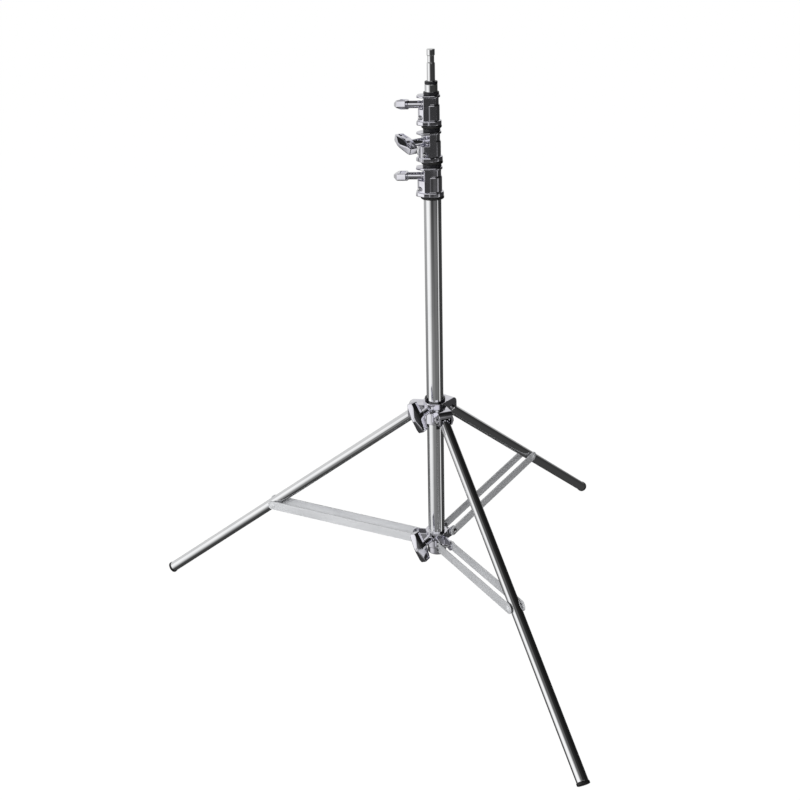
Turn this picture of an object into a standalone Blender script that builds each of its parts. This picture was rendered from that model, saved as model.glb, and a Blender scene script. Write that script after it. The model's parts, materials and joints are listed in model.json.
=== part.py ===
"""Steel lighting stand with three risers, a folding three-leg base and five T-lever clamps.

Metres, +Z up, floor at z = 0, mast on the Z axis. The front leg points along -Y.
"""

import math

import bmesh
import bpy
from mathutils import Matrix, Vector

# Clearances
FIT_GAP = 0.0003
STOP_GAP = 0.0004

# Mast tubes: the base tube and three risers, each one sliding in the last
BASE_TUBE_RADIUS = 0.0175
TUBE_WALL = 0.0013
BASE_TUBE_LENGTH = 0.839
RISER_COUNT = 3
TOP_RISER_SHOW = 0.0207

# Plug in the foot of each riser and cup under the base tube
PLUG_HEAD = 0.006
PLUG_SHANK = 0.012
CUP_RADIUS = 0.020
CUP_WALL_HEIGHT = 0.0135
CUP_FLOOR = 0.0025

# Baby pin on the top riser
PIN_RADIUS = 0.008
PIN_NECK_RADIUS = 0.0067
PIN_LENGTH = 0.0620
PIN_HEAD = 0.0120
PIN_NECK = 0.0150
PIN_CHAMFER = 0.0012
PIN_SHANK = 0.025
PIN_RING_HEIGHT = 0.0060

# Riser collars
COLLAR_HEIGHT = 0.0595
COLLAR_WALL = 0.0016
COLLAR_GRIP = 0.026
COLLAR_SHOULDER = 0.0190
RIM_OUT = 0.0028
RIM_HEIGHT = 0.0050
FLANGE_OUT = 0.0034
FLANGE_HEIGHT = 0.0090
EDGE_ROUND = 0.0010
BUSH_SEAT = 0.0030
BUSH_WALL = 0.0010
BUSH_OUT = 0.0024
BUSH_HEIGHT = 0.0060
RING_HEIGHT = 0.0055
RING_OUT = 0.0004
RING_ROUND = 0.0015
LUG_OUT = 0.0095
LUG_HALF_WIDTH = 0.0090
LUG_DROP = 0.027
LUG_INSET = 0.0005
LUG_ROUND = 0.0045
LUG_SHANK = 0.0052
CHEEK_REACH = 0.0130
SLOT_WIDTH = 0.0022
SLOT_DROP = 0.033
BOSS_RADIUS = 0.0085
BOSS_OUT = 0.0034
SCREW_DROP = 0.0190
COLLAR_BOLT_RADIUS = 0.0025
COLLAR_BOLT_HEAD_RADIUS = 0.0045
COLLAR_BOLT_HEAD = 0.0040
COLLAR_BOLT_NUT = 0.0032
COLLAR_BOLT_OUT = 0.0047
COLLAR_BOLT_RISE = 0.0062
COLLAR_AZIMUTHS = (-117.0, -84.0, -120.0)
COLLAR_LEVER_TURNS = (9.0, -17.0, 12.0)

# T-lever and its screw
SCREW_RADIUS = 0.0040
SCREW_ENGAGE = 0.0200
LEVER_NECK_RADIUS = 0.0070
LEVER_REACH = 0.0545
LEVER_SPAN = 0.0650
LEVER_DEPTH = 0.0285
LEVER_THICKNESS = 0.0165
LEVER_END_THICKNESS = 0.0115
LEVER_SWEEP = 0.0085
LEVER_ROOF = 0.0120
LEVER_RIDGE = 0.0060
LEVER_SLOPE = 0.0025
LEVER_WEB = 0.0060
LEVER_BARREL_HALF = 0.0080
LEVER_END_WALL = 0.0040
LEVER_LIP = 0.0025

# Leg hub
HUB_HEIGHT = 0.0480
HUB_PIVOT_DROP = 0.0290
HUB_RING_WALL = 0.0052
HUB_BUSH_WALL = 0.0015
HUB_BUSH_FLANGE = 0.0065
HUB_BUSH_OUT = 0.0036
HUB_BUSH_TONGUE = 0.0120
TONGUE_COUNT = 4
TONGUE_ANGLE = 24.0
TONGUE_AZIMUTH = -5.0
LEG_PIVOT_REACH = 0.0420
FORK_PLATE = 0.0035
FORK_GAP = 0.0006
FORK_OUT = 0.0145
FORK_ABOVE = 0.0220
FORK_BELOW = 0.0160
FORK_HEEL = 0.0030
FORK_NOSE = 0.0080
FORK_NOSE_RISE = 0.0112
FORK_SHOULDER = 0.0120
FORK_ROOF = 0.0026
LEG_PIVOT_RADIUS = 0.0040
HUB_SCREW_DROP = 0.0130
HUB_LEVER_AZIMUTH = -56.0
HUB_LEVER_TURN = -64.0
HUB_BOSS_OUT = 0.0052

# Brace hub
BRACE_HUB_PIVOT_HEIGHT = 0.1530
BRACE_HUB_ABOVE = 0.0180
BRACE_HUB_BELOW = 0.0170
BRACE_HUB_RING_WALL = 0.0058
BRACE_PIVOT_REACH = 0.0430
BRACE_LUG_PLATE = 0.0035
BRACE_LUG_RADIUS = 0.0110
BRACE_SCREW_RISE = 0.0080

# Legs and foot plugs
LEG_AZIMUTHS = {"front": 0.0, "left": -120.0, "rear": 120.0}
LEG_RADIUS = 0.0111
LEG_WALL = 0.0015
LEG_LENGTH = 0.7285
LEG_TOP = 0.0120
LEG_SPREAD = 52.7
FOOT_RADIUS = 0.0122
FOOT_THICKNESS = 0.0048
FOOT_PLUG = 0.0180
FOOT_ROUND = 0.0010

# Braces: a flat strip on each side of the leg
BRACE_PIN_REACH = 0.4050
BRACE_SIDE = 0.0130
BRACE_THICKNESS = 0.0030
BRACE_HALF_WIDTH = 0.0100
BRACE_PIN_RADIUS = 0.0032
BRACE_WASHER_RADIUS = 0.0062
RIVET_RADIUS = 0.0058
RIVET_HEIGHT = 0.0026

# Bolts
HEAD_RADIUS = 0.0070
HEAD_HEIGHT = 0.0038
NUT_RADIUS = 0.0068
NUT_HEIGHT = 0.0050
THREAD_END = 0.0012
HEAD_RIM = 0.0014
RIVET_RIM = 0.0008
DOME_STEPS = 2

# Facets round each kind of piece
MAST_FACETS = 18
LEG_FACETS = 16
PIN_FACETS = 10
END_FACETS = 6
CORNER_FACETS = 3

# Plates and bosses start at this share of a bore's radius, and the bore cuts off their ends
ROOT_SHARE = 0.5

# Points of a cut closer than this are one point
MERGE_DISTANCE = 0.000002

FINISHES = {
    "chrome": ((0.62, 0.63, 0.66, 1.0), 0.12, 1.0),
    "zinc": ((0.52, 0.53, 0.57, 1.0), 0.28, 1.0),
    "steel": ((0.40, 0.41, 0.44, 1.0), 0.30, 1.0),
    "nylon": ((0.015, 0.015, 0.017, 1.0), 0.42, 0.0),
    "rubber": ((0.020, 0.019, 0.018, 1.0), 0.70, 0.0),
}


# Derived sizes


def tube_radius(stage):
    """Outer radius of a mast tube: stage 0 is the base tube, stage 3 the top riser."""
    return BASE_TUBE_RADIUS - stage * (TUBE_WALL + FIT_GAP)


SPREAD = math.radians(LEG_SPREAD)
LEG_PIVOT_HEIGHT = LEG_LENGTH * math.cos(SPREAD) + FOOT_RADIUS * math.sin(SPREAD)
HUB_TOP = LEG_PIVOT_HEIGHT + HUB_PIVOT_DROP
HUB_BOTTOM = HUB_TOP - HUB_HEIGHT
BRACE_HUB_BOTTOM = BRACE_HUB_PIVOT_HEIGHT - BRACE_HUB_BELOW
BRACE_HUB_TOP = BRACE_HUB_PIVOT_HEIGHT + BRACE_HUB_ABOVE
BASE_TUBE_BOTTOM = BRACE_HUB_BOTTOM - STOP_GAP - CUP_WALL_HEIGHT
BASE_TUBE_TOP = BASE_TUBE_BOTTOM + BASE_TUBE_LENGTH
COLLAR_PITCH = COLLAR_HEIGHT + RING_HEIGHT + BUSH_HEIGHT + 2 * FIT_GAP + STOP_GAP
LEG_HALF_GAP = LEG_RADIUS + FORK_GAP
FORK_HALF_WIDTH = LEG_HALF_GAP + FORK_PLATE
BRACE_OUTER = BRACE_SIDE + BRACE_THICKNESS


def collar_top(stage):
    """Height of the top face of the collar that the given tube carries."""
    return BASE_TUBE_TOP + FIT_GAP + COLLAR_GRIP + stage * COLLAR_PITCH


def tube_top(stage):
    """Height of the top end of a mast tube, which lies inside its collar."""
    if stage == RISER_COUNT:
        return collar_top(stage - 1) + TOP_RISER_SHOW
    return collar_top(stage) - COLLAR_GRIP - FIT_GAP


def plug_bottom(stage):
    """Height of the underside of a riser's plug: the plugs stand on each other."""
    first = BASE_TUBE_BOTTOM - FIT_GAP + STOP_GAP
    return first + (stage - 1) * (PLUG_HEAD + PLUG_SHANK + STOP_GAP)


def radial(azimuth):
    """Unit vector outwards at an azimuth in degrees, where 0 is -Y and 90 is +X."""
    angle = math.radians(azimuth)
    return Vector((math.sin(angle), -math.cos(angle), 0.0))


def lateral(azimuth):
    """Horizontal unit vector across the radial direction."""
    return radial(azimuth + 90.0)


def basis(x_axis, y_axis, z_axis, origin):
    """Matrix that carries a local frame to the given axes and origin."""
    matrix = Matrix((x_axis, y_axis, z_axis)).transposed().to_4x4()
    return Matrix.Translation(Vector(origin)) @ matrix


def across(azimuth, reach, height):
    """Frame whose Z axis runs sideways across a leg plane, at a point of that plane."""
    out = radial(azimuth)
    point = out * reach + Vector((0.0, 0.0, height))
    return basis(out, Vector((0.0, 0.0, 1.0)), -lateral(azimuth), point)


def outward(azimuth, reach, height, turn=0.0):
    """Frame whose Z axis points outwards at an azimuth, turned about that axis."""
    out = radial(azimuth)
    point = out * reach + Vector((0.0, 0.0, height))
    frame = basis(lateral(azimuth), Vector((0.0, 0.0, 1.0)), out, point)
    return frame @ Matrix.Rotation(math.radians(turn), 4, 'Z')


def upright(azimuth):
    """Frame on the mast axis with X outwards at an azimuth and Z up."""
    return basis(radial(azimuth), lateral(azimuth), Vector((0.0, 0.0, 1.0)), (0.0, 0.0, 0.0))


def leg_direction(azimuth):
    """Unit vector down a leg at its spread angle."""
    return radial(azimuth) * math.sin(SPREAD) - Vector((0.0, 0.0, math.cos(SPREAD)))


def along_leg(azimuth, distance):
    """Frame at a distance down a leg, Z axis down the leg and X axis towards the floor."""
    down = leg_direction(azimuth)
    side = lateral(azimuth)
    under = side.cross(down)
    if under.z > 0.0:
        under = -under
    pivot = radial(azimuth) * LEG_PIVOT_REACH + Vector((0.0, 0.0, LEG_PIVOT_HEIGHT))
    return basis(under, down.cross(under), down, pivot + down * distance)


# Mesh tools


def object_from(name, mesh_data):
    """Scene object holding the bmesh, with its normals facing out."""
    bmesh.ops.recalc_face_normals(mesh_data, faces=mesh_data.faces)
    mesh = bpy.data.meshes.new(name)
    mesh_data.to_mesh(mesh)
    mesh_data.free()
    item = bpy.data.objects.new(name, mesh)
    bpy.context.scene.collection.objects.link(item)
    return item


def lathe(name, outline, facets, frame=Matrix.Identity(4)):
    """Closed body turned about the local Z axis from an outline of (radius, height) points."""
    work = bmesh.new()
    ring = [work.verts.new((radius, 0.0, height)) for radius, height in outline]
    closed = all(radius > 0.0 for radius, _ in outline)
    pairs = list(zip(ring, ring[1:] + ring[:1])) if closed else list(zip(ring, ring[1:]))
    edges = [work.edges.new(pair) for pair in pairs]
    bmesh.ops.spin(work, geom=ring + edges, cent=(0, 0, 0), axis=(0, 0, 1),
                   angle=math.tau, steps=facets, use_merge=True, use_duplicate=False)
    bmesh.ops.remove_doubles(work, verts=work.verts, dist=1e-6)
    bmesh.ops.transform(work, matrix=frame, verts=work.verts)
    return object_from(name, work)


def prism(name, outline, low, high, frame=Matrix.Identity(4)):
    """Closed body with an (x, y) outline, extruded along local Z from low to high."""
    work = bmesh.new()
    face = work.faces.new([work.verts.new((x, y, low)) for x, y in outline])
    raised = bmesh.ops.extrude_face_region(work, geom=[face])
    moved = [item for item in raised["geom"] if isinstance(item, bmesh.types.BMVert)]
    bmesh.ops.translate(work, verts=moved, vec=(0.0, 0.0, high - low))
    bmesh.ops.transform(work, matrix=frame, verts=work.verts)
    return object_from(name, work)


def cylinder(name, radius, low, high, facets, frame=Matrix.Identity(4)):
    """Plain round bar along local Z."""
    outline = [(0.0, low), (radius, low), (radius, high), (0.0, high)]
    return lathe(name, outline, facets, frame)


def boolean(target, tool, operation):
    """Join the tool to the target or cut it away, then drop the tool."""
    step = target.modifiers.new(operation.lower(), 'BOOLEAN')
    step.solver = 'EXACT'
    step.operation = operation
    step.object = tool
    bpy.context.view_layer.update()
    evaluated = target.evaluated_get(bpy.context.evaluated_depsgraph_get())
    work = bmesh.new()
    work.from_mesh(evaluated.to_mesh())
    evaluated.to_mesh_clear()
    target.modifiers.clear()
    bmesh.ops.remove_doubles(work, verts=work.verts, dist=MERGE_DISTANCE)
    bmesh.ops.dissolve_degenerate(work, edges=work.edges, dist=MERGE_DISTANCE)
    work.to_mesh(target.data)
    work.free()
    bpy.data.objects.remove(tool)


def join(target, *tools):
    """Union of the target with each tool."""
    for tool in tools:
        boolean(target, tool, 'UNION')


def cut(target, *tools):
    """Target with each tool cut away."""
    for tool in tools:
        boolean(target, tool, 'DIFFERENCE')


def arc(centre, radius, start, end, steps):
    """Points of an arc in degrees, both ends included."""
    points = []
    for index in range(steps + 1):
        angle = math.radians(start + (end - start) * index / steps)
        points.append((centre[0] + radius * math.cos(angle),
                       centre[1] + radius * math.sin(angle)))
    return points


def lug_plan(wide, shoulder, reach, half, radius):
    """Plan of a lug along X: parallel cheeks up to a shoulder, a taper, then a round end."""
    inset = reach - radius
    upper = [(inset - LUG_SHANK, half), (shoulder, wide), (0.0, wide)]
    points = arc((inset, radius - half), radius, -90.0, 0.0, CORNER_FACETS)
    points += arc((inset, half - radius), radius, 0.0, 90.0, CORNER_FACETS)
    return points + upper + [(x, -y) for x, y in reversed(upper)]


def dome(radius, rise, base):
    """Lathe points of a dome from its crown above the base down to its rim."""
    sphere = (radius * radius + rise * rise) / (2.0 * rise)
    spread = math.asin(radius / sphere)
    points = []
    for index in range(DOME_STEPS + 1):
        angle = spread * index / DOME_STEPS
        drop = sphere * (1.0 - math.cos(angle))
        points.append((sphere * math.sin(angle), base + rise - drop))
    return points


def hexagon(radius):
    """Outline of a nut."""
    return arc((0.0, 0.0), radius, 0.0, 300.0, 5)


def cross_bolt(name, frame, face, shank, head, nut):
    """Bolt along local Z with a domed head past one face and a nut past the other.

    The head and the nut are given as (radius, height).
    """
    head_radius, head_height = head
    nut_radius, nut_height = nut
    tail = -face - nut_height - THREAD_END
    outline = dome(head_radius, head_height - HEAD_RIM, face + HEAD_RIM)
    outline += [(head_radius, face), (shank, face), (shank, tail), (0.0, tail)]
    bolt = lathe(name, outline, PIN_FACETS, frame)
    join(bolt, prism("nut", hexagon(nut_radius), -face - nut_height, -face, frame))
    return bolt


def eased(radius, low, high, ease):
    """Outer side of a turned piece between two heights, with both edges eased."""
    return [(radius - ease, low), (radius, low + ease), (radius, high - ease),
            (radius - ease, high)]


def finish(item, kind, origin):
    """Give a piece its material, smooth shading and an origin on its joint axis."""
    colour, roughness, metallic = FINISHES[kind]
    material = bpy.data.materials.new(item.name + "_" + kind)
    material.use_nodes = True
    shader = material.node_tree.nodes["Principled BSDF"]
    shader.inputs["Base Color"].default_value = colour
    shader.inputs["Roughness"].default_value = roughness
    shader.inputs["Metallic"].default_value = metallic
    item.data.materials.clear()
    item.data.materials.append(material)
    place = Vector(origin)
    item.data.transform(Matrix.Translation(-place))
    item.location = place
    item.data.shade_smooth()
    item.data.set_sharp_from_angle(angle=math.radians(32.0))
    return item


# Mast


def mast_tube(name, stage):
    """Hollow mast tube from its plug or cup up to its top end."""
    outer = tube_radius(stage)
    inner = outer - TUBE_WALL
    low = BASE_TUBE_BOTTOM if stage == 0 else plug_bottom(stage) + PLUG_HEAD + FIT_GAP
    high = tube_top(stage)
    outline = [(inner, low), (outer, low), (outer, high), (inner, high)]
    tube = lathe(name, outline, MAST_FACETS)
    return finish(tube, "chrome", (0.0, 0.0, high))


def riser_plug(name, stage):
    """Nylon plug pressed into the foot of a riser; its head guides the riser."""
    head = tube_radius(stage)
    shank = head - TUBE_WALL - FIT_GAP
    low = plug_bottom(stage)
    mid = low + PLUG_HEAD
    high = mid + PLUG_SHANK
    outline = [(0.0, low), (head, low), (head, mid), (shank, mid), (shank, high), (0.0, high)]
    plug = lathe(name, outline, MAST_FACETS)
    return finish(plug, "nylon", (0.0, 0.0, low))


def base_cup(name):
    """Cup round the foot of the base tube; its lip stops the mast under the brace hub."""
    low = BASE_TUBE_BOTTOM - FIT_GAP - CUP_FLOOR
    floor = BASE_TUBE_BOTTOM - FIT_GAP
    high = BASE_TUBE_BOTTOM + CUP_WALL_HEIGHT
    inner = BASE_TUBE_RADIUS + FIT_GAP
    outline = [(0.0, low)] + eased(CUP_RADIUS, low, high, EDGE_ROUND)
    outline += [(inner, high), (inner, floor), (0.0, floor)]
    cup = lathe(name, outline, MAST_FACETS)
    return finish(cup, "zinc", (0.0, 0.0, low))


def baby_pin(name):
    """16 mm baby pin with its necked groove, its shank pressed into the top riser."""
    seat = tube_top(RISER_COUNT) + FIT_GAP + PIN_RING_HEIGHT + FIT_GAP
    top = seat + PIN_LENGTH
    head = top - PIN_HEAD
    neck = head - PIN_NECK
    slope = PIN_RADIUS - PIN_NECK_RADIUS
    shank = tube_radius(RISER_COUNT) - TUBE_WALL - FIT_GAP
    foot = tube_top(RISER_COUNT) - PIN_SHANK
    hole = tube_top(RISER_COUNT)
    outline = [(0.0, foot), (shank - EDGE_ROUND, foot), (shank, foot + EDGE_ROUND),
               (shank, hole), (PIN_RADIUS, hole), (PIN_RADIUS, neck),
               (PIN_NECK_RADIUS, neck + slope), (PIN_NECK_RADIUS, head - slope),
               (PIN_RADIUS, head), (PIN_RADIUS, top - PIN_CHAMFER),
               (PIN_RADIUS - PIN_CHAMFER, top), (0.0, top)]
    pin = lathe(name, outline, LEG_FACETS)
    return finish(pin, "chrome", (0.0, 0.0, seat))


def pin_ring(name):
    """Black cap ring between the top riser and the pin."""
    low = tube_top(RISER_COUNT) + FIT_GAP
    high = low + PIN_RING_HEIGHT
    inner = PIN_RADIUS + FIT_GAP
    outline = [(inner, low)] + eased(tube_radius(RISER_COUNT), low, high, EDGE_ROUND)
    outline.append((inner, high))
    ring = lathe(name, outline, MAST_FACETS)
    return finish(ring, "nylon", (0.0, 0.0, low))


# Riser collars


class CollarSizes:
    """Radii and heights of the collar that one mast tube carries."""

    def __init__(self, stage):
        self.azimuth = COLLAR_AZIMUTHS[stage]
        self.turn = COLLAR_LEVER_TURNS[stage]
        self.top = collar_top(stage)
        self.bottom = self.top - COLLAR_HEIGHT
        self.low_bore = tube_radius(stage) + FIT_GAP
        self.up_bore = tube_radius(stage + 1) + FIT_GAP
        self.low_outer = self.low_bore + COLLAR_WALL
        self.up_outer = self.up_bore + COLLAR_WALL
        self.seat_bore = self.up_bore + BUSH_WALL + FIT_GAP
        self.rim = self.up_outer + RIM_OUT
        self.flange = self.low_outer + FLANGE_OUT
        self.lug = self.low_outer + LUG_OUT
        self.boss = self.up_outer + BOSS_OUT
        self.screw_height = self.top - SCREW_DROP
        self.bolt_reach = self.low_outer + COLLAR_BOLT_OUT
        self.bolt_height = self.bottom + FLANGE_HEIGHT + COLLAR_BOLT_RISE


def collar_body(sizes):
    """Turned outside of a collar, with its rim, shoulder and bottom flange."""
    shoulder = sizes.top - COLLAR_SHOULDER
    step = sizes.low_outer - sizes.up_outer
    outline = [(0.0, sizes.bottom)]
    outline += eased(sizes.flange, sizes.bottom, sizes.bottom + FLANGE_HEIGHT, EDGE_ROUND)
    outline += [(sizes.low_outer, sizes.bottom + FLANGE_HEIGHT), (sizes.low_outer, shoulder - step),
                (sizes.up_outer, shoulder), (sizes.up_outer, sizes.top - RIM_HEIGHT)]
    outline += eased(sizes.rim, sizes.top - RIM_HEIGHT, sizes.top, EDGE_ROUND)
    outline.append((0.0, sizes.top))
    return lathe("collar_body", outline, MAST_FACETS)


def collar_lug(sizes):
    """Cheeks and clamp lug of a collar, with the foot below them and the tab above them."""
    frame = upright(sizes.azimuth)
    wide = sizes.up_outer - LUG_INSET
    lug = lug_plan(wide, CHEEK_REACH, sizes.lug, LUG_HALF_WIDTH, LUG_ROUND)
    foot = lug_plan(wide + FLANGE_OUT, CHEEK_REACH, sizes.lug + FLANGE_OUT,
                    LUG_HALF_WIDTH + FLANGE_OUT, LUG_ROUND)
    tab = lug_plan(wide + RIM_OUT, CHEEK_REACH, sizes.lug + RIM_OUT, LUG_HALF_WIDTH + RIM_OUT,
                   LUG_ROUND)
    cheek = [(0.0, wide), (0.0, -wide), (CHEEK_REACH, -wide), (CHEEK_REACH, wide)]
    middle = sizes.bottom + FLANGE_HEIGHT - 2 * LUG_INSET
    high = sizes.top - RIM_HEIGHT + 2 * LUG_INSET
    return (prism("foot", foot, sizes.bottom + LUG_INSET, middle + LUG_INSET, frame),
            prism("lug", lug, middle, sizes.top - LUG_DROP, frame),
            prism("cheek", cheek, sizes.top - LUG_DROP - LUG_INSET, high, frame),
            prism("tab", tab, high - LUG_INSET, sizes.top - LUG_INSET, frame))


def collar(name, stage):
    """Collar casting: clamped on its own tube below, it grips the next tube above."""
    sizes = CollarSizes(stage)
    body = collar_body(sizes)
    body.name = name
    body.data.name = name
    screw_frame = outward(sizes.azimuth, 0.0, sizes.screw_height)
    root = ROOT_SHARE * sizes.up_bore
    boss = cylinder("boss", BOSS_RADIUS, root, sizes.boss, LEG_FACETS, screw_frame)
    join(body, boss, *collar_lug(sizes))
    beyond = sizes.lug + 2 * FLANGE_OUT
    ledge = sizes.top - COLLAR_GRIP
    bore = [(0.0, sizes.bottom - STOP_GAP), (sizes.low_bore, sizes.bottom - STOP_GAP),
            (sizes.low_bore, ledge), (sizes.up_bore, ledge),
            (sizes.up_bore, sizes.top - BUSH_SEAT), (sizes.seat_bore, sizes.top - BUSH_SEAT),
            (sizes.seat_bore, sizes.top + STOP_GAP), (0.0, sizes.top + STOP_GAP)]
    half = 0.5 * SLOT_WIDTH
    slot = prism("slot", [(0.0, -half), (beyond, -half), (beyond, half), (0.0, half)],
                 sizes.bottom - FLANGE_HEIGHT, sizes.top - SLOT_DROP, upright(sizes.azimuth))
    screw_hole = cylinder("hole", SCREW_RADIUS + FIT_GAP, 0.0, beyond, PIN_FACETS, screw_frame)
    bolt_hole = cylinder("hole", COLLAR_BOLT_RADIUS + FIT_GAP, -beyond, beyond, PIN_FACETS,
                         across(sizes.azimuth, sizes.bolt_reach, sizes.bolt_height))
    cut(body, lathe("bore", bore, MAST_FACETS), slot, screw_hole, bolt_hole)
    return finish(body, "zinc", (0.0, 0.0, sizes.top))


def collar_bush(name, stage):
    """Black guide bush that sits in the rim of a collar, round the riser."""
    sizes = CollarSizes(stage)
    inner = sizes.up_bore
    low = sizes.top - BUSH_SEAT + FIT_GAP
    seat = sizes.top + FIT_GAP
    high = seat + BUSH_HEIGHT
    skirt = sizes.seat_bore - FIT_GAP
    outline = [(inner, low), (skirt, low), (skirt, seat)]
    outline += [(inner + BUSH_OUT, seat), (inner + BUSH_OUT, high - EDGE_ROUND),
                (inner + BUSH_OUT - EDGE_ROUND, high), (inner, high)]
    bush = lathe(name, outline, MAST_FACETS)
    return finish(bush, "nylon", (0.0, 0.0, seat))


def collar_ring(name, stage):
    """Black buffer ring under the bottom flange of a collar."""
    sizes = CollarSizes(stage)
    high = sizes.bottom - FIT_GAP
    low = high - RING_HEIGHT
    outline = [(sizes.low_bore, low)]
    outline += eased(sizes.flange + RING_OUT, low, high, RING_ROUND)
    outline.append((sizes.low_bore, high))
    ring = lathe(name, outline, MAST_FACETS)
    return finish(ring, "rubber", (0.0, 0.0, high))


def collar_bolt(name, stage):
    """Cross bolt that clamps the split skirt of a collar on its own tube."""
    sizes = CollarSizes(stage)
    frame = across(sizes.azimuth, sizes.bolt_reach, sizes.bolt_height)
    frame = frame @ Matrix.Rotation(math.radians(180.0), 4, 'X')
    bolt = cross_bolt(name, frame, LUG_HALF_WIDTH + FIT_GAP, COLLAR_BOLT_RADIUS,
                      (COLLAR_BOLT_HEAD_RADIUS, COLLAR_BOLT_HEAD),
                      (COLLAR_BOLT_HEAD_RADIUS, COLLAR_BOLT_NUT))
    return finish(bolt, "steel", frame.translation)


# T-lever clamps


def lever(name, azimuth, reach, height, turn):
    """T-lever on a round neck: tapering wings with a ridged outer face and pocketed flanks."""
    frame = outward(azimuth, reach + FIT_GAP, height, turn)
    inner = LEVER_REACH - LEVER_DEPTH
    half = 0.5 * LEVER_SPAN
    thick = 0.5 * LEVER_THICKNESS
    ridge = 0.5 * LEVER_RIDGE
    tip = LEVER_REACH - LEVER_SWEEP
    eave = LEVER_REACH - LEVER_ROOF
    wing = [(-half, tip), (-half + EDGE_ROUND, inner + LEVER_SLOPE), (-LEVER_BARREL_HALF, inner)]
    outline = wing + [(-x, y) for x, y in reversed(wing)]
    outline += [(LEVER_BARREL_HALF, LEVER_REACH), (-LEVER_BARREL_HALF, LEVER_REACH)]
    side_view = frame @ Matrix.Rotation(math.radians(90.0), 4, 'X')
    bar = prism(name, outline, -thick, thick, side_view)
    slim = 0.5 * LEVER_END_THICKNESS
    taper = [(-half, -slim), (-LEVER_BARREL_HALF, -thick), (LEVER_BARREL_HALF, -thick),
             (half, -slim)]
    taper += [(x, -y) for x, y in reversed(taper)]
    boolean(bar, prism("taper", taper, inner - EDGE_ROUND, LEVER_REACH + EDGE_ROUND, frame),
            'INTERSECT')
    house = [(-thick, inner - EDGE_ROUND), (thick, inner - EDGE_ROUND), (thick, eave),
             (ridge, LEVER_REACH + EDGE_ROUND), (-ridge, LEVER_REACH + EDGE_ROUND),
             (-thick, eave)]
    end_view = side_view @ Matrix.Rotation(math.radians(90.0), 4, 'Y')
    boolean(bar, prism("house", house, -LEVER_SPAN, LEVER_SPAN, end_view), 'INTERSECT')
    neck = [(0.0, 0.0), (LEVER_NECK_RADIUS - EDGE_ROUND, 0.0), (LEVER_NECK_RADIUS, EDGE_ROUND),
            (LEVER_NECK_RADIUS, inner + LEVER_WEB), (0.0, inner + LEVER_WEB)]
    join(bar, lathe("neck", neck, LEG_FACETS, frame))
    for side in (-1.0, 1.0):
        for face in (-1.0, 1.0):
            cut(bar, lever_pocket(side, face, inner, eave, side_view))
    socket = cylinder("socket", SCREW_RADIUS + FIT_GAP, -EDGE_ROUND, SCREW_ENGAGE + FIT_GAP,
                      PIN_FACETS, frame)
    cut(bar, socket)
    place = radial(azimuth) * reach
    return finish(bar, "zinc", (place.x, place.y, height))


def lever_pocket(side, face, inner, eave, frame):
    """Cutter for one of the four flank pockets of a T-lever."""
    start = LEVER_BARREL_HALF
    stop = 0.5 * LEVER_SPAN - LEVER_END_WALL
    top = eave - LEVER_LIP
    low = inner + LEVER_SLOPE + LEVER_LIP
    outline = [(side * start, low), (side * stop, low), (side * stop, top), (side * start, top)]
    if side < 0.0:
        outline.reverse()
    thick = 0.5 * LEVER_THICKNESS
    web = 0.5 * LEVER_WEB
    low, high = (web, thick + EDGE_ROUND) if face > 0.0 else (-thick - EDGE_ROUND, -web)
    return prism("pocket", outline, low, high, frame)


def lever_screw(name, azimuth, start, face, height):
    """Clamp screw: its tip presses the tube and its tail is moulded into the T-lever."""
    frame = outward(azimuth, 0.0, height)
    tip = start + FIT_GAP
    tail = face + FIT_GAP + SCREW_ENGAGE
    outline = [(0.0, tip), (SCREW_RADIUS, tip), (SCREW_RADIUS, tail), (0.0, tail)]
    screw = lathe(name, outline, PIN_FACETS, frame)
    place = radial(azimuth) * face
    return finish(screw, "steel", (place.x, place.y, height))


def collar_lever(prefix, stage):
    """T-lever and screw of one collar."""
    sizes = CollarSizes(stage)
    screw = lever_screw(prefix + "_screw", sizes.azimuth, tube_radius(stage + 1), sizes.boss,
                        sizes.screw_height)
    handle = lever(prefix + "_lever", sizes.azimuth, sizes.boss, sizes.screw_height, sizes.turn)
    return screw, handle


# Leg hub


HUB_BORE = BASE_TUBE_RADIUS + FIT_GAP + HUB_BUSH_WALL + FIT_GAP
HUB_OUTER = HUB_BORE + HUB_RING_WALL
HUB_BOSS = HUB_OUTER + HUB_BOSS_OUT
HUB_SCREW_HEIGHT = HUB_TOP - HUB_SCREW_DROP


def fork_outline():
    """Side view of a fork plate as (reach, height) points about the leg pivot."""
    tip = LEG_PIVOT_REACH + FORK_OUT
    high = LEG_PIVOT_HEIGHT + FORK_ABOVE
    low = LEG_PIVOT_HEIGHT - FORK_BELOW
    root = ROOT_SHARE * HUB_BORE
    outline = [(root, low), (LEG_PIVOT_REACH - FORK_HEEL, low)]
    outline += arc((tip - FORK_NOSE, low + FORK_NOSE_RISE), FORK_NOSE, -55.0, 0.0, CORNER_FACETS)
    outline += arc((tip - FORK_SHOULDER, high - FORK_SHOULDER), FORK_SHOULDER, 0.0, 90.0,
                   END_FACETS)
    outline.append((root, high))
    return outline


def fork_gap():
    """Side view of the gap in which a leg hangs: open below, under the roof of the fork."""
    tip = LEG_PIVOT_REACH + FORK_OUT
    high = LEG_PIVOT_HEIGHT + FORK_ABOVE
    low = LEG_PIVOT_HEIGHT - 2 * FORK_BELOW
    beyond = tip + FORK_OUT
    outline = [(HUB_OUTER, low), (beyond, low), (beyond, high - FORK_SHOULDER)]
    outline += arc((tip - FORK_SHOULDER, high - FORK_SHOULDER), FORK_SHOULDER - FORK_ROOF, 0.0,
                   90.0, CORNER_FACETS)
    outline.append((HUB_OUTER, high - FORK_ROOF))
    return outline


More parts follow.
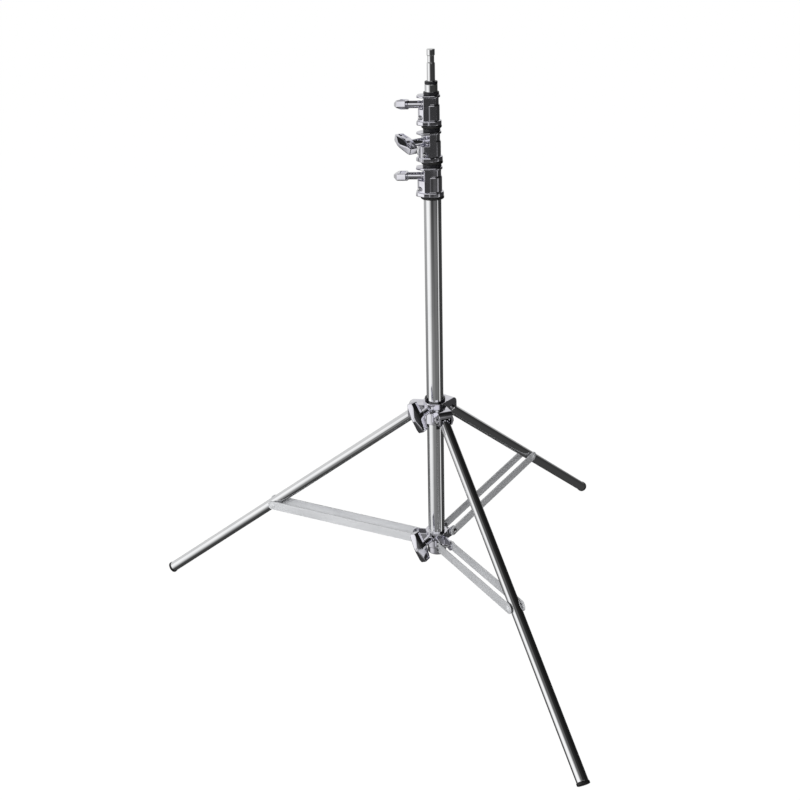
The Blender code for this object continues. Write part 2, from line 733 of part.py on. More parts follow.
def plate_pair(outline, inner, outer, azimuth):
    """Two parallel plates with one side view, one on each side of a leg plane."""
    frame = across(azimuth, 0.0, 0.0)
    return [prism("plate", outline, inner, outer, frame),
            prism("plate", outline, -outer, -inner, frame)]


def leg_hub(name):
    """Sliding upper hub: a ring with three roofed leg forks and the boss of its clamp screw."""
    ring = [(0.0, HUB_BOTTOM)] + eased(HUB_OUTER, HUB_BOTTOM, HUB_TOP, EDGE_ROUND)
    ring.append((0.0, HUB_TOP))
    body = lathe(name, ring, MAST_FACETS)
    screw_frame = outward(HUB_LEVER_AZIMUTH, 0.0, HUB_SCREW_HEIGHT)
    root = ROOT_SHARE * HUB_BORE
    join(body, cylinder("boss", BOSS_RADIUS, root, HUB_BOSS, LEG_FACETS, screw_frame))
    for azimuth in LEG_AZIMUTHS.values():
        join(body, prism("fork", fork_outline(), -FORK_HALF_WIDTH, FORK_HALF_WIDTH,
                         across(azimuth, 0.0, 0.0)))
    for azimuth in LEG_AZIMUTHS.values():
        cut(body, prism("gap", fork_gap(), -LEG_HALF_GAP, LEG_HALF_GAP,
                        across(azimuth, 0.0, 0.0)))
    bore = cylinder("bore", HUB_BORE, HUB_BOTTOM - STOP_GAP, HUB_TOP + STOP_GAP, MAST_FACETS)
    hole = cylinder("hole", SCREW_RADIUS + FIT_GAP, 0.0, HUB_BOSS + FIT_GAP, PIN_FACETS,
                    screw_frame)
    cut(body, bore, hole)
    for azimuth in LEG_AZIMUTHS.values():
        cut(body, cylinder("pivot", LEG_PIVOT_RADIUS + FIT_GAP, -2 * FORK_HALF_WIDTH,
                           2 * FORK_HALF_WIDTH, PIN_FACETS,
                           across(azimuth, LEG_PIVOT_REACH, LEG_PIVOT_HEIGHT)))
    return finish(body, "zinc", (0.0, 0.0, HUB_TOP))


def hub_bush(name):
    """Split nylon bush inside the leg hub: a flange above it and four tongues below it."""
    inner = BASE_TUBE_RADIUS + FIT_GAP
    outer = inner + HUB_BUSH_WALL
    low = HUB_BOTTOM - HUB_BUSH_TONGUE
    seat = HUB_TOP + FIT_GAP
    high = seat + HUB_BUSH_FLANGE
    wide = inner + HUB_BUSH_OUT
    outline = [(inner, low), (outer, low), (outer, seat), (wide, seat),
               (wide, high - EDGE_ROUND), (wide - EDGE_ROUND, high), (inner, high)]
    bush = lathe(name, outline, MAST_FACETS)
    gap = 360.0 / TONGUE_COUNT - TONGUE_ANGLE
    for index in range(TONGUE_COUNT):
        start = TONGUE_AZIMUTH + 0.5 * TONGUE_ANGLE + index * 360.0 / TONGUE_COUNT
        wedge = [(0.0, 0.0)] + arc((0.0, 0.0), 2 * outer, start, start + gap, CORNER_FACETS)
        cut(bush, prism("window", wedge, low - STOP_GAP, HUB_BOTTOM + EDGE_ROUND))
    return finish(bush, "nylon", (0.0, 0.0, HUB_TOP))


# Brace hub


BRACE_BORE = BASE_TUBE_RADIUS + FIT_GAP
BRACE_HUB_OUTER = BRACE_BORE + BRACE_HUB_RING_WALL
BRACE_BOSS = BRACE_HUB_OUTER + HUB_BOSS_OUT
BRACE_SCREW_HEIGHT = BRACE_HUB_PIVOT_HEIGHT + BRACE_SCREW_RISE
BRACE_LUG_OUTER = BRACE_SIDE - FIT_GAP
BRACE_LUG_INNER = BRACE_LUG_OUTER - BRACE_LUG_PLATE


def brace_lug_outline():
    """Side view of a brace lug: straight arms that end round the pivot."""
    low = BRACE_HUB_PIVOT_HEIGHT - BRACE_LUG_RADIUS
    high = BRACE_HUB_PIVOT_HEIGHT + BRACE_LUG_RADIUS
    nose = arc((BRACE_PIVOT_REACH, BRACE_HUB_PIVOT_HEIGHT), BRACE_LUG_RADIUS, -90.0, 90.0,
               END_FACETS)
    root = ROOT_SHARE * BRACE_BORE
    return [(root, low)] + nose + [(root, high)]


def brace_hub(name):
    """Lower hub: a ring round the base tube with three pairs of brace lugs."""
    ring = [(0.0, BRACE_HUB_BOTTOM)]
    ring += eased(BRACE_HUB_OUTER, BRACE_HUB_BOTTOM, BRACE_HUB_TOP, EDGE_ROUND)
    ring.append((0.0, BRACE_HUB_TOP))
    body = lathe(name, ring, MAST_FACETS)
    screw_frame = outward(HUB_LEVER_AZIMUTH, 0.0, BRACE_SCREW_HEIGHT)
    root = ROOT_SHARE * BRACE_BORE
    join(body, cylinder("boss", BOSS_RADIUS, root, BRACE_BOSS, LEG_FACETS, screw_frame))
    for azimuth in LEG_AZIMUTHS.values():
        join(body, *plate_pair(brace_lug_outline(), BRACE_LUG_INNER, BRACE_LUG_OUTER, azimuth))
    bore = cylinder("bore", BRACE_BORE, BRACE_HUB_BOTTOM - STOP_GAP, BRACE_HUB_TOP + STOP_GAP,
                    MAST_FACETS)
    hole = cylinder("hole", SCREW_RADIUS + FIT_GAP, 0.0, BRACE_BOSS + FIT_GAP, PIN_FACETS,
                    screw_frame)
    cut(body, bore, hole)
    for azimuth in LEG_AZIMUTHS.values():
        cut(body, cylinder("pivot", BRACE_PIN_RADIUS + FIT_GAP, -2 * BRACE_OUTER,
                           2 * BRACE_OUTER, PIN_FACETS,
                           across(azimuth, BRACE_PIVOT_REACH, BRACE_HUB_PIVOT_HEIGHT)))
    return finish(body, "zinc", (0.0, 0.0, BRACE_HUB_PIVOT_HEIGHT))


# Legs, feet and braces


def leg_pivot_point(azimuth):
    """Centre of a leg's hinge in its fork."""
    return radial(azimuth) * LEG_PIVOT_REACH + Vector((0.0, 0.0, LEG_PIVOT_HEIGHT))


def brace_pin_point(azimuth):
    """Centre of the pin that joins a leg to its braces."""
    return leg_pivot_point(azimuth) + leg_direction(azimuth) * BRACE_PIN_REACH


def brace_root_point(azimuth):
    """Centre of a brace's hinge in the brace hub."""
    return radial(azimuth) * BRACE_PIVOT_REACH + Vector((0.0, 0.0, BRACE_HUB_PIVOT_HEIGHT))


def leg_tube(name, azimuth):
    """Hollow leg with its pivot hole and its brace pin hole."""
    low = -LEG_TOP
    high = LEG_LENGTH - FOOT_THICKNESS - FIT_GAP
    inner = LEG_RADIUS - LEG_WALL
    outline = [(inner, low), (LEG_RADIUS, low), (LEG_RADIUS, high), (inner, high)]
    tube = lathe(name, outline, LEG_FACETS, along_leg(azimuth, 0.0))
    wide = 2 * LEG_RADIUS
    pivot_frame = across(azimuth, LEG_PIVOT_REACH, LEG_PIVOT_HEIGHT)
    pin = brace_pin_point(azimuth)
    pin_frame = across(azimuth, pin.dot(radial(azimuth)), pin.z)
    cut(tube, cylinder("hole", LEG_PIVOT_RADIUS + FIT_GAP, -wide, wide, PIN_FACETS, pivot_frame),
        cylinder("hole", BRACE_PIN_RADIUS + FIT_GAP, -wide, wide, PIN_FACETS, pin_frame))
    return finish(tube, "chrome", leg_pivot_point(azimuth))


def foot_plug(name, azimuth):
    """Rubber foot: a thick cap on the end of the leg and a plug inside it."""
    inner = LEG_RADIUS - LEG_WALL - FIT_GAP
    end = -FOOT_THICKNESS - FOOT_PLUG
    outline = [(0.0, end), (inner, end), (inner, -FOOT_THICKNESS),
               (FOOT_RADIUS - FOOT_ROUND, -FOOT_THICKNESS),
               (FOOT_RADIUS, -FOOT_THICKNESS + FOOT_ROUND), (FOOT_RADIUS, 0.0), (0.0, 0.0)]
    foot = lathe(name, outline, LEG_FACETS, along_leg(azimuth, LEG_LENGTH))
    return finish(foot, "rubber", leg_pivot_point(azimuth))


def hinge_bolt(name, azimuth, reach, height, radius, side):
    """Hinge bolt across a fork: domed head on one side and a nut on the other."""
    frame = across(azimuth, reach, height)
    bolt = cross_bolt(name, frame, side + FIT_GAP, radius, (HEAD_RADIUS, HEAD_HEIGHT),
                      (NUT_RADIUS, NUT_HEIGHT))
    return finish(bolt, "steel", frame.translation)


def brace_pin(name, azimuth):
    """Pin through a leg with a washer on each side, on which the brace ends turn."""
    point = brace_pin_point(azimuth)
    frame = across(azimuth, point.dot(radial(azimuth)), point.z)
    end = BRACE_SIDE - FIT_GAP
    near = LEG_RADIUS + FIT_GAP
    outline = [(0.0, -end), (BRACE_WASHER_RADIUS, -end), (BRACE_WASHER_RADIUS, -near),
               (BRACE_PIN_RADIUS, -near), (BRACE_PIN_RADIUS, near),
               (BRACE_WASHER_RADIUS, near), (BRACE_WASHER_RADIUS, end), (0.0, end)]
    return finish(lathe(name, outline, PIN_FACETS, frame), "steel", point)


def brace_strip(name, azimuth, side):
    """Flat brace strip with round ends, a hub hole and a formed rivet head at the leg."""
    root = brace_root_point(azimuth)
    pin = brace_pin_point(azimuth)
    along = (pin - root).normalized()
    reach = (pin - root).length
    normal = lateral(azimuth) * side
    frame = basis(along, normal.cross(along), normal, root)
    outline = arc((reach, 0.0), BRACE_HALF_WIDTH, -90.0, 90.0, END_FACETS)
    outline += arc((0.0, 0.0), BRACE_HALF_WIDTH, 90.0, 270.0, END_FACETS)
    strip = prism(name, outline, BRACE_SIDE, BRACE_OUTER, frame)
    head = dome(RIVET_RADIUS, RIVET_HEIGHT - RIVET_RIM, BRACE_OUTER + RIVET_RIM)
    head += [(RIVET_RADIUS, BRACE_SIDE + FIT_GAP), (0.0, BRACE_SIDE + FIT_GAP)]
    join(strip, lathe("rivet", head, PIN_FACETS, frame @ Matrix.Translation((reach, 0.0, 0.0))))
    cut(strip, cylinder("hole", BRACE_PIN_RADIUS + FIT_GAP, 0.0, 2 * BRACE_OUTER,
                        PIN_FACETS, frame))
    return finish(strip, "steel", root)


# Assembly


def build():
    """Make every piece of the stand."""
    for item in list(bpy.data.objects):
        bpy.data.objects.remove(item, do_unlink=True)
    mast_tube("base_tube", 0)
    base_cup("base_cup")
    for stage in range(1, RISER_COUNT + 1):
        mast_tube("riser_%d_tube" % stage, stage)
        riser_plug("riser_%d_plug" % stage, stage)
    pin_ring("pin_ring")
    baby_pin("baby_pin")
    for stage, level in enumerate(("lower", "middle", "upper")):
        collar(level + "_collar", stage)
        collar_bush(level + "_bush", stage)
        collar_ring(level + "_ring", stage)
        collar_bolt(level + "_collar_bolt", stage)
        collar_lever(level, stage)
    leg_hub("leg_hub")
    hub_bush("leg_hub_bush")
    lever_screw("leg_hub_screw", HUB_LEVER_AZIMUTH, HUB_BORE - FIT_GAP, HUB_BOSS,
                HUB_SCREW_HEIGHT)
    lever("leg_hub_lever", HUB_LEVER_AZIMUTH, HUB_BOSS, HUB_SCREW_HEIGHT, HUB_LEVER_TURN)
    brace_hub("brace_hub")
    lever_screw("brace_hub_screw", HUB_LEVER_AZIMUTH, BASE_TUBE_RADIUS, BRACE_BOSS,
                BRACE_SCREW_HEIGHT)
    lever("brace_hub_lever", HUB_LEVER_AZIMUTH, BRACE_BOSS, BRACE_SCREW_HEIGHT, HUB_LEVER_TURN)
    for label, azimuth in LEG_AZIMUTHS.items():
        leg_tube(label + "_leg", azimuth)
        foot_plug(label + "_foot", azimuth)
        hinge_bolt(label + "_leg_bolt", azimuth, LEG_PIVOT_REACH, LEG_PIVOT_HEIGHT,
                   LEG_PIVOT_RADIUS, FORK_HALF_WIDTH)
        brace_pin(label + "_leg_pin", azimuth)
        hinge_bolt(label + "_brace_bolt", azimuth, BRACE_PIVOT_REACH, BRACE_HUB_PIVOT_HEIGHT,
                   BRACE_PIN_RADIUS, BRACE_OUTER)
        brace_strip(label + "_brace_a", azimuth, -1.0)
        brace_strip(label + "_brace_b", azimuth, 1.0)


build()
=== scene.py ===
# %% [markdown]
# A steel lighting stand: a chrome base tube with three risers inside it, three split collars with
# T-levers, and a folding base of three tube legs held by pairs of flat braces. Every part of it is
# round or cast and nearly all of it is plated, so the look is made by smooth turned forms, small
# rounded edges and a studio for the metal to mirror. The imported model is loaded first, because each
# piece below takes its place from it.

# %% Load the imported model
import json
import math

import bmesh
import bpy
from mathutils import Matrix, Vector


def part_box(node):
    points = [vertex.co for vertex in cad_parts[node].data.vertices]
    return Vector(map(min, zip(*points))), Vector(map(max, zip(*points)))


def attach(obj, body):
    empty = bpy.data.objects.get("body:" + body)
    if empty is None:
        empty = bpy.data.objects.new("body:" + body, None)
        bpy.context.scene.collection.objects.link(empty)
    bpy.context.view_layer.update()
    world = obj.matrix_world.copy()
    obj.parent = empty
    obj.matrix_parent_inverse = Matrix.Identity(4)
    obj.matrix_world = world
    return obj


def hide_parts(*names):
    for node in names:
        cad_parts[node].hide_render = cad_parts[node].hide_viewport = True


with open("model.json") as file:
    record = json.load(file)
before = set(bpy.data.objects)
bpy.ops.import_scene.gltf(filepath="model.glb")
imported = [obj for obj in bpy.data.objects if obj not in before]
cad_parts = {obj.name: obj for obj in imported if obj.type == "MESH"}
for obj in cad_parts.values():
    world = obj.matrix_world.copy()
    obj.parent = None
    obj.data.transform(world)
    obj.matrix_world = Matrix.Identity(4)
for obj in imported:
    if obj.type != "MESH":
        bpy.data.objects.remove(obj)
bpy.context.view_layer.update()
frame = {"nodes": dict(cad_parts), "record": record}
BODY_OF = {node: body for body, nodes in frame["record"]["behaviour"]["bodies"].items()
           for node in nodes}

# %% [markdown]
# The photograph was taken from a little above the collars and from the left of the front leg. A
# camera could be tried by eye, but the stand's straight tubes give exact lines, so it was worked
# out from where their edges and ends lie. The stand isn't in the middle of that lens's view, and
# the lens shift moves the frame over to it without turning the camera.

# %% Camera
PHOTO_TURN = 23.54
CAMERA_DISTANCE, CAMERA_HEIGHT = 2.3597, 1.5684
CAMERA_YAW, CAMERA_PITCH, CAMERA_ROLL = -0.16953, 0.30, -0.063178
CAMERA_LENS, SENSOR_WIDTH = 54.19, 36.0
CAMERA_SHIFT = (0.2045, -0.1934)

turn_to_object = Matrix.Rotation(math.radians(-PHOTO_TURN), 4, 'Z')
camera_place = turn_to_object @ Vector((0.0, -CAMERA_DISTANCE, CAMERA_HEIGHT))
camera_axes = (turn_to_object @ Matrix.Rotation(-CAMERA_YAW, 4, 'Z')
               @ Matrix.Rotation(0.5 * math.pi - CAMERA_PITCH, 4, 'X')
               @ Matrix.Rotation(CAMERA_ROLL, 4, 'Z'))

camera_data = bpy.data.cameras.new("photo_camera")
camera_data.sensor_width = SENSOR_WIDTH
camera_data.lens = CAMERA_LENS
camera_data.shift_x, camera_data.shift_y = CAMERA_SHIFT
camera = bpy.data.objects.new("photo_camera", camera_data)
camera.matrix_world = Matrix.Translation(camera_place) @ camera_axes
bpy.context.scene.collection.objects.link(camera)
bpy.context.scene.camera = camera
bpy.context.scene.view_settings.view_transform = 'Standard'
print("camera at", [round(value, 3) for value in camera_place])

# %% [markdown]
# A shader graph is easier to read as arithmetic than as a list of links. This small class holds one
# socket, so that masks can be added, multiplied and subtracted like numbers, and one method makes
# every other kind of node.

# %% Shader sockets as Python values


class Wire:
    """One output socket of a shader graph."""

    def __init__(self, tree, socket=None):
        self.tree = tree
        self.socket = socket

    def node(self, kind, settings=None, inputs=None, output=0):
        """New node of a kind, with its settings and its input values or links."""
        made = self.tree.nodes.new(kind)
        for key, value in (settings or {}).items():
            setattr(made, key, value)
        for key, value in (inputs or {}).items():
            if isinstance(value, Wire):
                self.tree.links.new(value.socket, made.inputs[key])
            else:
                made.inputs[key].default_value = value
        return Wire(self.tree, made.outputs[output] if made.outputs else None)

    def other(self, output):
        """Another output of the node behind this one."""
        return Wire(self.tree, self.socket.node.outputs[output])

    def maths(self, operation, first, second=0.0):
        return self.node("ShaderNodeMath", {"operation": operation}, {0: first, 1: second})

    def __add__(self, other):
        return self.maths('ADD', self, other)

    __radd__ = __add__

    def __mul__(self, other):
        return self.maths('MULTIPLY', self, other)

    __rmul__ = __mul__

    def __sub__(self, other):
        return self.maths('SUBTRACT', self, other)

    def __rsub__(self, other):
        return self.maths('SUBTRACT', other, self)

    def __truediv__(self, other):
        return self.maths('DIVIDE', self, other)

    def step(self, low, high):
        """Smooth rise from 0 at low to 1 at high, or a fall where low is above high."""
        return self.node("ShaderNodeMapRange", {"interpolation_type": 'SMOOTHSTEP'},
                         {"Value": self, "From Min": low, "From Max": high})

    def blend(self, first, second):
        """Colour between two others, by this value."""
        return self.node("ShaderNodeMix", {"data_type": 'RGBA'},
                         {0: self, 6: first, 7: second}, 2)


print("shader values ready")

# %% [markdown]
# Chrome has hardly any colour of its own: what one sees on it is the room. On the photographed
# tubes the same bright patch shows at the left of each, the right and the ceiling are nearly black,
# and paler panels show at the left rear and behind. The front leg, which leans, also mirrors the
# floor before it, a dim wall and one bright gap. Cards and lamps could be built round the stand,
# but they would stand in the way of other views, so the sky itself carries them, and only mirrored
# rays see this room. The picture's background is white, and matt surfaces get a plain even light.

# %% Panels of the studio
# A panel has an azimuth counted from the camera, two cosines of the angle to it between which the
# panel fades in, the heights between which its foot and its head fade, and its brightness. The
# softbox also ends towards two more azimuths. The dark card stands above a height of its own, and
# across the horizon the floor's level passes into the ceiling's.
SOFTBOX = (-5.0, (-0.05, 0.16), (-0.74, -0.40), (0.64, 0.38), 0.98)
SOFTBOX_ENDS = ((-125.0, (-0.46, 0.42)), (-70.0, (0.0, 0.2)))
PANELS = {
    "rear_left": (-132.0, (0.15, 0.55), (-0.66, 0.0), (0.75, 0.5), 0.66),
    "backdrop": (180.0, (0.74, 0.93), (-0.28, -0.08), (0.90, 0.7), 0.70),
    "fill": (-5.0, (0.55, 0.85), (-0.15, 0.04), (0.72, 0.5), 0.88),
    "skylight": (-40.0, (0.5, 1.0), (0.45, 0.7), (0.97, 0.85), 0.12),
    "near_floor": (-22.0, (0.60, 1.0), (-0.9, -0.4), (-0.20, -0.42), 0.24),
    "dim_wall": (32.0, (0.90, 0.955), (-0.95, -0.85), (-0.20, -0.30), 0.16),
    "bright_gap": (70.0, (0.987, 0.997), (-0.95, -0.85), (-0.20, -0.30), 0.80)}
DARK_CARD, CARD_FOOT = (102.0, (0.70, 1.0)), (-0.55, -0.20)
HORIZON = (-0.35, 0.15)
FLOOR_LEVEL, CEILING_LEVEL, CARD_LEVEL = 0.050, 0.022, 0.010
EVEN_LEVEL = 0.08
NO_ZERO = 1e-6
WHITE = (1.0, 1.0, 1.0, 1.0)


def toward(azimuth):
    """Horizontal direction at an azimuth counted from the camera, positive to its right."""
    angle = math.radians(azimuth - PHOTO_TURN)
    return math.sin(angle), -math.cos(angle)


def empty_graph(owner):
    """Shader graph of a world or a material with nothing in it."""
    owner.use_nodes = True
    owner.node_tree.nodes.clear()
    return Wire(owner.node_tree)


def ray_kinds(wire):
    """Masks of the rays that come from the camera, through glass and off shiny surfaces."""
    path = wire.node("ShaderNodeLightPath")
    return [path.other(kind) for kind in ("Is Camera Ray", "Is Transmission Ray", "Is Glossy Ray")]


print("panels", 1 + len(PANELS))

# %% Studio
world = bpy.data.worlds.new("studio")
studio = empty_graph(world)
split = studio.node("ShaderNodeSeparateXYZ", inputs={0: studio.node("ShaderNodeTexCoord")})
ray_x, ray_y, ray_z = (split.other(index) for index in range(3))
level_length = studio.maths('SQRT', ray_x * ray_x + ray_y * ray_y + NO_ZERO)


def sideways(azimuth, fade):
    """Mask of a panel of the room by its azimuth."""
    x, y = toward(azimuth)
    return ((ray_x * x + ray_y * y) / level_length).step(*fade)


def panel(azimuth, fade, foot, head, level):
    """Brightness of a panel of the room, soft at all four sides."""
    return sideways(azimuth, fade) * ray_z.step(*foot) * ray_z.step(*head) * level


room = FLOOR_LEVEL - ray_z.step(*HORIZON) * (FLOOR_LEVEL - CEILING_LEVEL)
room = room - sideways(*DARK_CARD) * ray_z.step(*CARD_FOOT) * (CEILING_LEVEL - CARD_LEVEL)
mirrored = panel(*SOFTBOX)
for end in SOFTBOX_ENDS:
    mirrored = mirrored * sideways(*end)
for brightness in [panel(*sizes) for sizes in PANELS.values()] + [room]:
    mirrored = studio.maths('MAXIMUM', mirrored, brightness)
seen, through, glossy = ray_kinds(studio)
plain = studio.maths('MAXIMUM', seen, through)
strength = plain + (1 - plain) * (glossy * mirrored + (1 - glossy) * EVEN_LEVEL)
background = studio.node("ShaderNodeBackground", inputs={"Color": WHITE, "Strength": strength})
studio.node("ShaderNodeOutputWorld", inputs={"Surface": background})
bpy.context.scene.world = world
print("studio nodes", len(world.node_tree.nodes))

# %% [markdown]
# The floor is a plain white sheet. It could be left out, as the photograph's background is empty,
# but then the feet would stand on nothing, so a faint soft shadow is kept on it. Most of its white
# is a glow that only the camera sees, and the rest is paper that takes the shadow. The metal
# mirrors the studio instead of the sheet, because the studio holds its own floor.

# %% Floor
FLOOR_SIZE, FLOOR_DROP = 40.0, 0.0006
FLOOR_GLOW, GLOW_STRENGTH = 0.94, 1.06
PAPER_WHITE = (0.96, 0.96, 0.96, 1.0)


def as_object(name, work):
    """Scene object from a mesh under construction."""
    mesh = bpy.data.meshes.new(name)
    work.to_mesh(mesh)
    work.free()
    item = bpy.data.objects.new(name, mesh)
    bpy.context.scene.collection.objects.link(item)
    return item


sheet_work = bmesh.new()
bmesh.ops.create_grid(sheet_work, x_segments=1, y_segments=1, size=0.5 * FLOOR_SIZE)
bmesh.ops.translate(sheet_work, verts=sheet_work.verts, vec=(0.0, 0.0, -FLOOR_DROP))
floor = as_object("floor_sheet", sheet_work)

floor_paper = bpy.data.materials.new("floor_paper")
paper = empty_graph(floor_paper)
floor_seen, floor_through, floor_glossy = ray_kinds(paper)
matt = paper.node("ShaderNodeBsdfDiffuse", inputs={"Color": PAPER_WHITE})
glow = paper.node("ShaderNodeEmission", inputs={"Color": WHITE, "Strength": GLOW_STRENGTH})
clear = paper.node("ShaderNodeBsdfTransparent")
share = paper.maths('MAXIMUM', floor_seen, floor_through) * FLOOR_GLOW
sheet = paper.node("ShaderNodeMixShader", inputs={0: share, 1: matt, 2: glow})
surface = paper.node("ShaderNodeMixShader", inputs={0: floor_glossy, 1: sheet, 2: clear})
paper.node("ShaderNodeOutputMaterial", inputs={"Surface": surface})
floor.data.materials.append(floor_paper)
print("floor", FLOOR_SIZE, "m wide")

# %% [markdown]
# One large lamp stands high and a little to the left of the camera and lights what is matt: the
# satin strips, the rubber and the paper. It could be a sun, but its shadow would be hard. It is
# hidden from mirrored rays, because the studio already shows a softbox there.

# %% Lamp
LAMP_AZIMUTH, LAMP_REACH, LAMP_HEIGHT, LAMP_AIM = -17.0, 2.2, 1.9, 0.5
LAMP_WIDTH, LAMP_DEPTH, LAMP_POWER = 1.8, 1.2, 66.0

lamp_data = bpy.data.lights.new("soft_lamp", 'AREA')
lamp_data.shape = 'RECTANGLE'
lamp_data.size, lamp_data.size_y = LAMP_WIDTH, LAMP_DEPTH
lamp_data.energy = LAMP_POWER
lamp = bpy.data.objects.new("soft_lamp", lamp_data)
lamp.location = (Vector((*toward(LAMP_AZIMUTH), 0.0)) * LAMP_REACH
                 + Vector((0.0, 0.0, LAMP_HEIGHT)))
lamp_ray = Vector((0.0, 0.0, LAMP_AIM)) - lamp.location
lamp.rotation_euler = lamp_ray.to_track_quat('-Z', 'Y').to_euler()
lamp.visible_glossy = False
bpy.context.scene.collection.objects.link(lamp)
print("lamp", round(lamp_ray.length, 2), "m from the mast")

# %% [markdown]
# The finishes. Plated tube is smooth but not perfect: its brightness has faint drawn lines along
# the tube and soft smudges where it is handled. Castings are polished less evenly and mirror
# softly. The strips are satin. Bolts are plated steel with worn marks, and nylon and rubber are
# black with a fine grain. Every pattern is read from the piece's own coordinates, turned so that
# its lines run along the tube or the strip.

# %% Tools for finishes
NO_TURN = (0.0, 0.0, 0.0)


def new_material(name, metallic):
    """Material with one principled shader, and the wire to build on."""
    material = bpy.data.materials.new(name)
    material.use_nodes = True
    shader = material.node_tree.nodes["Principled BSDF"]
    shader.inputs["Metallic"].default_value = metallic
    return material, shader, Wire(material.node_tree)


def join_to(material, shader, **links):
    """Link wires to the shader's inputs by name."""
    for name, wire in links.items():
        material.node_tree.links.new(wire.socket, shader.inputs[name.replace("_", " ")])
    return material


def along(wire, turn=NO_TURN, stretch=1.0):
    """Object coordinates turned so that local Z runs along a piece, then squeezed along it."""
    place = wire.node("ShaderNodeTexCoord", output=3)
    turned_place = wire.node("ShaderNodeMapping", {"vector_type": 'TEXTURE'},
                             {"Vector": place, "Rotation": turn})
    return wire.node("ShaderNodeVectorMath", {"operation": 'MULTIPLY'},
                     {0: turned_place, 1: (1.0, 1.0, stretch)})


def noise(wire, place, scale, detail=2.0):
    """Noise from 0 to 1 over a piece."""
    return wire.node("ShaderNodeTexNoise", inputs={"Vector": place, "Scale": scale,
                                                   "Detail": detail})


def bump(wire, height, distance):
    """Normal from a height between 0 and 1, given its size in metres."""
    return wire.node("ShaderNodeBump", inputs={"Height": height, "Distance": distance,
                                               "Strength": 1.0})


print("finish tools ready")

# %% Finishes
# Each finish has a clean tone and a worn one.
TUBE_TONES = (0.93, 0.935, 0.945, 1.0), (0.87, 0.88, 0.895, 1.0)
CASTING_TONES = (0.86, 0.855, 0.91, 1.0), (0.74, 0.735, 0.80, 1.0)
STRIP_TONES = (0.79, 0.80, 0.82, 1.0), (0.69, 0.70, 0.72, 1.0)
STEEL_TONES = (0.80, 0.80, 0.81, 1.0), (0.62, 0.62, 0.64, 1.0)
NYLON_TONES = (0.006, 0.006, 0.008, 1.0), (0.016, 0.016, 0.018, 1.0)
RUBBER_TONES = (0.007, 0.007, 0.007, 1.0), (0.022, 0.021, 0.020, 1.0)


def plated_tube(name, turn=NO_TURN):
    """Polished chrome on drawn tube."""
    material, shader, wire = new_material(name, 1.0)
    drawn = noise(wire, along(wire, turn, 0.03), 900.0)
    smudge = noise(wire, along(wire, turn, 0.45), 26.0, 4.0).step(0.42, 0.72)
    rub = noise(wire, along(wire, turn), 140.0, 3.0).step(0.55, 0.80)
    return join_to(material, shader, Base_Color=smudge.blend(*TUBE_TONES),
                   Roughness=0.03 + smudge * 0.045 + rub * 0.03 + drawn * 0.02,
                   Normal=bump(wire, drawn, 0.000004))


def plated_casting(name):
    """Plated casting: softer mirror, slightly violet, with a faint uneven surface."""
    material, shader, wire = new_material(name, 1.0)
    place = along(wire)
    waves = noise(wire, place, 95.0, 3.0)
    grain = noise(wire, place, 900.0)
    haze = noise(wire, place, 40.0, 4.0).step(0.40, 0.70)
    return join_to(material, shader, Base_Color=haze.blend(*CASTING_TONES),
                   Roughness=0.06 + haze * 0.06 + grain * 0.03,
                   Normal=bump(wire, waves * 0.8 + grain * 0.2, 0.00004))


def satin_strip(name, turn):
    """Plated strip steel with brushing along it."""
    material, shader, wire = new_material(name, 0.20)
    brushed = noise(wire, along(wire, turn, 0.02), 1400.0, 3.0)
    cloud = noise(wire, along(wire, turn, 0.4), 30.0, 4.0).step(0.35, 0.75)
    return join_to(material, shader, Base_Color=cloud.blend(*STRIP_TONES),
                   Roughness=0.40 + cloud * 0.06 + brushed * 0.06,
                   Normal=bump(wire, brushed, 0.00001))


def grained(name, metallic, tones, grain, depth, wear, limits, smooth, rough):
    """Finish with a fine grain, and worn patches that change its tone and its roughness.

    Grain and wear are a noise's scale and detail, and the patches rise between two limits.
    """
    material, shader, wire = new_material(name, metallic)
    place = along(wire)
    worn = noise(wire, place, *wear).step(*limits)
    return join_to(material, shader, Base_Color=worn.blend(*tones),
                   Roughness=smooth + worn * rough,
                   Normal=bump(wire, noise(wire, place, *grain), depth))


MAST_CHROME = plated_tube("mast_chrome")
CASTING = plated_casting("casting_chrome")
BOLT_STEEL = grained("bolt_steel", 1.0, STEEL_TONES, (260.0, 4.0), 0.00003, (260.0, 4.0),
                     (0.45, 0.70), 0.16, 0.14)
NYLON = grained("black_nylon", 0.0, NYLON_TONES, (1500.0, 2.0), 0.00003, (110.0, 4.0),
                (0.52, 0.78), 0.26, 0.16)
RUBBER = grained("black_rubber", 0.0, RUBBER_TONES, (1100.0, 4.0), 0.00006, (85.0, 5.0),
                 (0.50, 0.80), 0.46, 0.20)
print("finishes", len(bpy.data.materials))

# %% [markdown]
# Three ways of making solids cover the stand. Turned pieces come from an outline that is spun round
# an axis, plates from an outline that is extruded, and castings from several of these joined and
# cut. All outlines get real rounded corners, because a plated edge shows as a thin bright line.

# %% Outlines
ARC_STEPS = 5
LARGEST_RUN = 0.49


def arc(centre, radius, start, end, steps):
    """Points of an arc in degrees, both ends included."""
    points = []
    for index in range(steps + 1):
        angle = math.radians(start + (end - start) * index / steps)
        points.append((centre[0] + radius * math.cos(angle), centre[1] + radius * math.sin(angle)))
    return points


